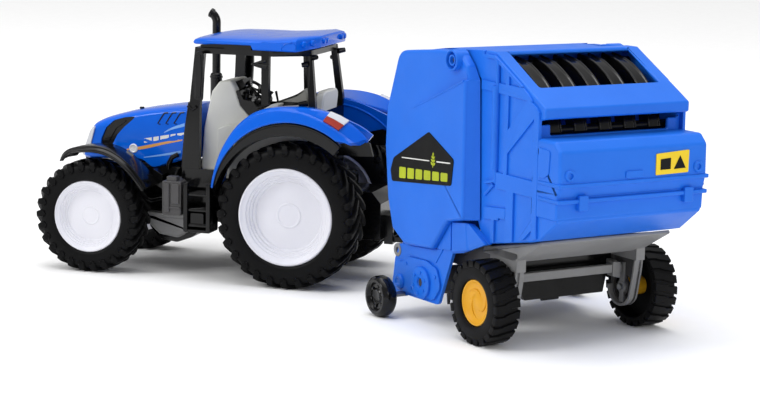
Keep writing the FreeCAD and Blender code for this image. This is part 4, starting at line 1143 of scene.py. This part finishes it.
def rear_cover():
    """Rounded box across the gate, with bosses, ribs and clips on it."""
    body = rounded([(29, 77.4), (29, 102.9), (46.4, 102.9, 3.2), (50.8, 98.4, 3), (51.1, 83, 2),
                    (49.6, 77.4)], 0.4, 6)
    lower = rounded([(29, 66.4), (29, 86), (49.6, 86), (48.9, 66.4, 2)], 0.4, 6)
    shells = [plate("side", body, -42.96, 42.96, 1.7, foot=1.7, steps=5),
              plate("side", lower, -42.9, 42.9, 1.2, foot=1.2)]
    piece("rear_cover_moulding", "baler_blue", shells, "tailgate", BALER, nodes=("rear_cover",), bevel=0)
    boss = [(50, 0), (50.9, 0), (50.9, 1.2), (51.9, 1.5), (51.9, 2.4), (51.3, 2.8), (50, 2.8)]
    details = [turned(boss, (x, 87.6), 28, "front") for x in (37.4, -37.2)]
    name_plate = rounded([(5.6, 84.6), (5.6, 88), (-4.6, 88), (-4.6, 84.6)], 1)
    details.append(plate("front", name_plate, 50.2, 51.7, 0.3))
    for z, proud in ((83, 52), (75.6, 51.2)):
        rib = rounded([(34.6, z - 1), (proud, z - 1), (proud, z + 0.9), (34.6, z + 0.9)], 0.5)
        details.append(plate("side", rib, -43.5, 43.5, 0.5, foot=0.5))
    for x in (29.3, -32.2):
        clip = rounded([(x - 2.6, 71), (x + 2.6, 71), (x + 2.6, 78.2), (x - 2.6, 78.2)], 0.7)
        details.append(plate("front", clip, 47.6, 51.8, 0.5))
    panel = rounded([(34.6, 99.2), (43.6, 98.4, 2), (42.8, 87.6, 2), (39.6, 85.4), (34.6, 85.4)], 0.8)
    details += both([plate("side", panel, 42, 43.5, 0.4)])
    piece("rear_cover_details", "baler_blue", details, "tailgate", BALER, bevel=0)


def rear_label():
    """A yellow label that carries a plain square and triangle."""
    label = rounded([(-11.9, 85), (-31.2, 85.4), (-31.4, 96), (-12, 95)], 0.5)
    piece("rear_label", "label_yellow", [prism("front", label, 50.6, 51.5)], "tailgate", BALER, bevel=0.1)
    marks = [prism("front", [(-14.4, 87.4), (-20.4, 87.5), (-20.4, 92.8), (-14.4, 92.4)], 51.2, 51.65),
             prism("front", [(-22.4, 87.4), (-29.4, 87.6), (-25.9, 93.6)], 51.2, 51.65)]
    piece("rear_label_marks", "label_black", marks, "tailgate", BALER, bevel=0)


BELT_COUNT = 5
BELT_PITCH = 14.5


def bale_belts():
    """Broad black bale belts with a raised edge each side, over two rollers; they are made deep so their
    black side walls stand in as painted shade for the channels between them.
    """
    path = smooth([(-11, 135.6), (0, 133.6), (9, 129.6), (17, 124), (23.6, 116), (27.6, 104.2)], 18)
    # The belts' black is their own colour, but the 6 mm depth of the section is painted shade: black walls
    # fill the shaded channels over the chamber's blue inside.
    section = [(-3.8, -6), (3.8, -6), (3.8, 0.2), (3.4, 0.7), (2.7, 0.7), (2.3, 0.1), (-2.3, 0.1),
               (-2.7, 0.7), (-3.4, 0.7), (-3.8, 0.2)]
    shells = [swept(path, section, (index - BELT_COUNT // 2) * BELT_PITCH) for index in range(BELT_COUNT)]
    for y, z, radius in ((-8, 132, 2.4), (25, 105, 2.2)):
        shells.append(disc("side", (y, z), radius, -39.4, 39.4, 24))
    piece("bale_belts", "black_plastic", shells, "tailgate", BALER, nodes=("belt_bars",), bevel=0.15)


DRUM = (-55.4, 19.6)
BOSS = (-76.2, 16.4)


def pickup_plate():
    """The plate beside the pickup: a raised field, the reel's drum with six studs, a boss and rivets."""
    outline = [(-83.2, 27.4, 2), (-84.7, 17.8, 2), (-86.4, 10, 1), (-81, 7.4, 2), (-69.9, 10.2, 2),
               (-41.9, 10.6, 3), (-30, 38.6, 1), (-21, 40.4, 0.4), (-2.4, 47.5, 0.4), (-16.8, 55.3, 0.4),
               (-30.9, 54.4, 0.4), (-44.1, 38.5, 0.4), (-69.7, 36.7, 1), (-79, 35.4, 2)]
    raised = rounded([(-80.6, 26.4, 3), (-81.6, 17, 4), (-77, 11.6, 4), (-68, 12, 3), (-45, 12.4, 4),
                      (-38.6, 20, 5), (-42.6, 28.6, 4), (-52, 31.2, 4), (-68.6, 30.4, 3), (-73.6, 27.2, 3)],
                     2)
    web = rounded([(-69, 31.4), (-44.4, 31.4), (-37.4, 40), (-44, 38), (-69, 36)], 0.8)
    rail = rounded([(-79, 30), (-79, 36.6), (-46, 36.6), (-40, 30)], 1)
    drum = [(46, 0), (47.9, 0), (47.9, 2.2), (49, 2.6), (49.2, 3.4), (49.2, 7), (48.7, 8), (46, 8.2)]
    boss = [(46, 0), (48.4, 0), (48.5, 1.6), (49, 2.2), (48.9, 3.2), (48.2, 3.9), (46, 4)]
    gusset = [(-43.6, 38.8), (-31.4, 53.8), (-31, 40)]
    shells = [prism("side", rounded(outline, 1), 44.4, 46.2), prism("side", rail, 40.6, 44.6),
              prism("side", raised, 45.8, 47.4), prism("side", web, 45.8, 46.7), turned(drum, DRUM, 40)]
    shells += [disc("side", polar(DRUM, 5.4, turn + 20), 0.8, 48.8, 49.7, 12) for turn in range(0, 360, 60)]
    shells.append(turned(boss, BOSS, 28))
    shells += [disc("side", rivet, 0.9, 46.8, 47.9, 12)
               for rivet in ((-70.4, 26.6), (-65.6, 15), (-43.6, 24.4))]
    return shells + [folded_flap(), prism("side", rounded(gusset, 0.4), 44.4, 46.9)]


def pickup():
    """Both pickup plates, each with the grey eye at its front."""
    side_pieces("pickup_plate_*_moulding", "baler_blue", pickup_plate(), "baler", BALER, "pickup_plate_*",
                bevel=0.35, segments=3)
    eye = [turned([(43.6, 1.5), (46.6, 1.5), (46.6, 3.4), (43.6, 3.4)], (-80.8, 31.8), 24),
           tube([(44.6, -79, 33.4), (44.6, -72, 35)], 1.6, 10)]
    side_pieces("pickup_eye_*", "grey_plastic", eye, "baler", BALER, bevel=0.25)


def folded_flap():
    """The panel behind the plate: its rear part turns in along an upright crease."""
    crease_low, crease_high = (-17.6, 42.2), (-19.4, 55.4)
    near = [(-30.2, 39.2), crease_low, crease_high, (-30.4, 54)]
    far = [(46.8, *crease_low), (43.4, -3, 47.4), (44.6, -16.8, 55.2), (46.8, *crease_high)]
    points, faces = skin([laid("side", near, 46.8), laid("side", near, 44.6)])
    thick = 2
    sides = ((0, 1, 2, 3), (7, 6, 5, 4), (0, 4, 5, 1), (1, 5, 6, 2), (2, 6, 7, 3), (3, 7, 4, 0))
    return (points + far + [(x - thick, y, z) for x, y, z in far],
            faces + [tuple(len(points) + index for index in face) for face in sides])


def pickup_reel():
    """The reel with its tines, in its CAD shape."""
    piece("pickup_reel_tines", "dark_grey_plastic", [], "pickup_reel", BALER, cad="pickup_reel", bevel=0.15)


def baler_chassis():
    """Grey frame: sloping apron under the gate, a cross rail with hooked ends and dark side rails."""
    apron = rounded([(-16, 41), (-16, 45.4), (-9, 45.4), (28, 52.9), (31.4, 54, 0.6), (32, 52.4, 0.6),
                     (10.4, 40.6, 1), (-6, 41)], 0.4)
    rail = rounded([(-2.4, 28.2), (1.2, 28.2), (1.2, 32.4), (-2.4, 32.4)], 0.5)
    hook = rounded([(27.6, 26.6), (32.2, 25.4), (32.2, 33.4), (27.6, 33.8)], 0.6)
    tie = rounded([(-12, 30.4), (-1, 30.4), (-1, 33.8), (-12, 33.8)], 0.4)
    shells = [plate("side", apron, -38.2, 38.2, 0.8, foot=0.8), prism("side", rail, -33.6, 28)]
    shells += both([prism("front", hook, -2.6, 1.9), prism("side", tie, 30.4, 32.2),
                    prism("side", [(-9.5, 36), (-9.5, 45), (13, 45), (13, 36)], 33, 38.2)])
    piece("baler_chassis_moulding", "grey_plastic", shells, "baler", BALER, nodes=("baler_chassis",),
          bevel=0.4)
    side_rail = [(-62, 31), (-62, 37), (-32, 37), (-16, 45.4), (-9, 45.4), (-6, 41), (-6, 31)]
    front = both([prism("side", side_rail, 33.4, 37.8)])
    front += [slab(-37, 37, -20, -16, 37, 43), slab(-33, 33, -62, -57.6, 33.4, 37)]
    piece("baler_side_rails", "dark_grey_plastic", front, "baler", BALER, bevel=0.4)


def wheel_hangers():
    """Round-bottomed brackets that carry the baler's wheels, with two crescent holes round the hub."""
    hub = (0, 20.5)
    outline = [(-9.5, 44)] + arc(hub, 9.5, 180, 335, 16) + [(11.4, 30), (13, 44)]
    holes = [prism("side", arc(hub, 7.3, start, end, 12) + arc(hub, 4.4, end, start, 12), 34, 39)
             for start, end in ((118, 242), (-62, 62))]
    strut = rounded([(-1.5, 12.6), (1.5, 12.6), (1.9, 33), (-1.9, 33)], 0.4)
    rims = [flat_rim(outline, 33, 38.2, 1.4), turned([(34.4, 0), (37.8, 0), (37.8, 3.6), (34.4, 3)], hub, 28),
            prism("side", strut, 34.6, 37)]
    web = piece("wheel_hanger_webs", "dark_grey_plastic", both([prism("side", outline, 35.4, 37.2)]),
                "baler", BALER, bevel=0.25)
    carved(web, both(holes), BALER, "hanger_cutter")
    piece("wheel_hanger_rims", "grey_plastic", both(rims), "baler", BALER, bevel=0.35)


def flat_rim(outline, low, high, wall):
    """A raised edge of even width that follows an outline, open at its top."""
    loops = []
    count = len(outline)
    for index in range(1, count):
        here = Vector(outline[index])
        along = (Vector(outline[(index + 1) % count]) - Vector(outline[index - 1])).normalized()
        inner = here + Vector((-along.y, along.x)) * wall
        loops.append([(low, *outline[index]), (high, *outline[index]), (high, *inner), (low, *inner)])
    return skin(loops)


def belly():
    """A leaning black panel with a folded lower edge, its shelf, a small wire latch, and an upright black
    sheet above the cross rail that is painted shade under the apron's lip.
    """
    foot, lean = 18.7, 0.14
    panel = rounded([(-23.6, foot), (23.6, foot), (26.6, 27.6), (26.6, 31.4), (-26.6, 31.4), (-26.6, 27.6)],
                    0.8)
    shells = [skin([[(x, y - (z - foot) * lean, z) for x, z in panel] for y in (-0.6, -3.4)]),
              # The upright black slab above the cross rail is painted shade: it fills the dark gap under the
              # apron's lip.
              slab(-26.6, 26.6, -43, -4, 29.8, 31.8), slab(-33.2, 33.2, -9.4, -7.4, 29.8, 45),
              tube([(13, -1.6, 18.4), (3, -1.6, 18.4)], 1, 10),
              tube([(22, -0.9, 19.6), (20.6, -2.1, 26.6)], 0.35, 8)]
    piece("belly_panel_and_shade_moulding", "black_plastic", shells, "baler", BALER, nodes=("belly_panel",), bevel=0.35)


def drawbar():
    """The beam with a bar along each edge, and the steel stubs of the baler's wheels."""
    edges = both([tube([(4.6, -128, 31), (7.4, -84, 32), (10, -74, 33.4)], 1.3)])
    piece("drawbar_beam", "dark_grey_plastic", edges, "baler", BALER, cad="drawbar", bevel=0.6, segments=3)
    for node in ("stub_axles", "gauge_pins"):
        piece(f"{node}_bars", "axle_steel", [], "baler", BALER, cad=node, bevel=0.15)


def baler_lug(middle, half, radius, centre, side, turn):
    """A chunky straight tread bar from one shoulder, tapering a little past the tread's middle."""
    sections = [(0.96, 1.0, -3.2, -2.6, 1.9), (0.93, 1.0, -2.6, -0.7, 2.1), (0.86, 0.95, -2.4, -0.1, 2.1),
                (0.4, 0.44, -2.4, 0, 1.85), (0.14, 0.18, -2.4, 0, 1.7), (-0.26, -0.22, -2.4, -0.05, 1.2)]
    loops = []
    for low_x, top_x, low_r, top_r, half_width in sections:
        loop = []
        for rise, across in ((0, -1.1), (0.75, -1.03), (1, -0.9), (1, 0.9), (0.75, 1.03), (0, 1.1)):
            x, r = low_x + (top_x - low_x) * rise, low_r + (top_r - low_r) * rise
            angle = turn + (1 - x) * 0.05 * side + across * half_width / radius
            loop.append((middle + side * x * half, *around(centre, radius + r, angle)))
        loops.append(loop)
    return skin(loops)


BALER_LUGS = 22


def baler_tyre(side_name, side):
    """A black tyre with 22 pairs of tread bars, hollow on its inner side."""
    node = f"baler_tyre_{side_name}"
    radius, centre, face, inner = wheel_size(node, BALER)
    half, middle = (face - inner) / 2, (face + inner) / 2
    tread, seat = radius - 0.95, face - 6.2
    profile = [(face - 1.6, 11.1), (face - 0.5, 11.6), (face - 0.05, 12.6), (face, 14), (face - 0.05, 16.4),
               (face - 0.4, radius - 2.2), (face - 1.2, radius - 1.3), (face - 2.6, tread),
               (inner + 2.6, tread), (inner + 1.2, radius - 1.3), (inner + 0.4, radius - 2.2),
               (inner, 17.2), (inner + 0.2, 16.2), (inner + 2, 15.6), (face - 7.4, 15.2), (face - 7.4, 5),
               (seat, 5), (seat, 11.1)]
    shells = [turned(profile, centre, 80)]
    for index in range(BALER_LUGS):
        for flank in (1, -1):
            turn = 2 * math.pi * (index + (0.5 if flank < 0 else 0)) / BALER_LUGS
            shells.append(baler_lug(middle, half, radius, centre, flank, turn))
    piece(f"{node}_rubber", "tyre_black", sided(side, shells), f"baler_wheel_{side_name}", BALER, (node,),
          bevel=0, angle=38)


def baler_rim(side_name, side):
    """A yellow dish with a soft three-armed swirl, and its hub tube behind."""
    _, centre, face, inner = wheel_size(f"baler_tyre_{side_name}", BALER)
    front = [(face - 1.7, 11.3), (face - 1.1, 10.9), (face - 1.1, 10.3), (face - 1.8, 9.8), (face - 2.5, 8.6),
             (face - 3, 6.4), (face - 2.7, 4), (face - 2.2, 3), (face - 2.1, 0)]
    back = [(face - 5, 0), (face - 5, 3), (inner + 0.6, 3), (inner + 0.6, 4.6), (face - 5, 4.8),
            (face - 5, 9.4), (face - 6, 9.8), (face - 6, 11.3)]
    dish = [turned(front + back, centre, 64)]
    for vane in range(3):
        path = [(face - 2.75, *polar(centre, 3.6 + step * 0.8, vane * 120 + 40 + step * 20))
                for step in range(7)]
        dish.append(tube(path, [0.1, 0.25, 0.35, 0.4, 0.35, 0.25, 0.1], 8))
    piece(f"baler_rim_{side_name}_disc", "wheel_yellow", sided(side, dish), f"baler_wheel_{side_name}", BALER,
          (f"baler_rim_{side_name}",), bevel=0.2, angle=28)


def baler_wheels():
    for side_name, side in SIDES.items():
        baler_tyre(side_name, side)
        baler_rim(side_name, side)
        gauge_wheel(side_name, side)


def gauge_wheel(side_name, side):
    """A small black wheel with a sunken web, a ring of six studs and a hub cap."""
    node = f"gauge_wheel_{side_name}"
    radius, centre, face, inner = wheel_size(node, BALER)
    profile = [(face - 1.6, 0), (face - 1.6, 2.6), (face - 1.2, 3.4), (face - 1.9, 4.2), (face - 1.9, 6.4),
               (face - 0.6, 6.9), (face, 7.5), (face, 8.8), (face - 1, radius - 0.5), (face - 2.4, radius),
               (inner + 2.4, radius), (inner + 1, radius - 0.5), (inner, 8.8), (inner, 1.6),
               (face - 3.4, 1.6), (face - 3.4, 0)]
    shells = [turned(profile, centre, 40)]
    for index in range(6):
        shells.append(disc("side", polar(centre, 5.2, index * 60 + 20), 0.75, face - 2.4, face - 1.1, 12))
    piece(f"{node}_moulding", "black_plastic", sided(side, shells), node, BALER, (node,), bevel=0.2, angle=28)


stage()
camera()
for build in (tractor_wheels, hood, hood_markings, nose, cab_roof, cab_structure, cab_interior, seat,
              dashboard, steering, exhaust, mirrors, rear_fenders, tail_lamps, front_fenders, steps,
              side_boxes, sump, chassis, side_shields, baler_label, front_shell, tailgate, rear_cover,
              rear_label, bale_belts, pickup, pickup_reel, baler_chassis, wheel_hangers, belly, drawbar,
              baler_wheels):
    build()
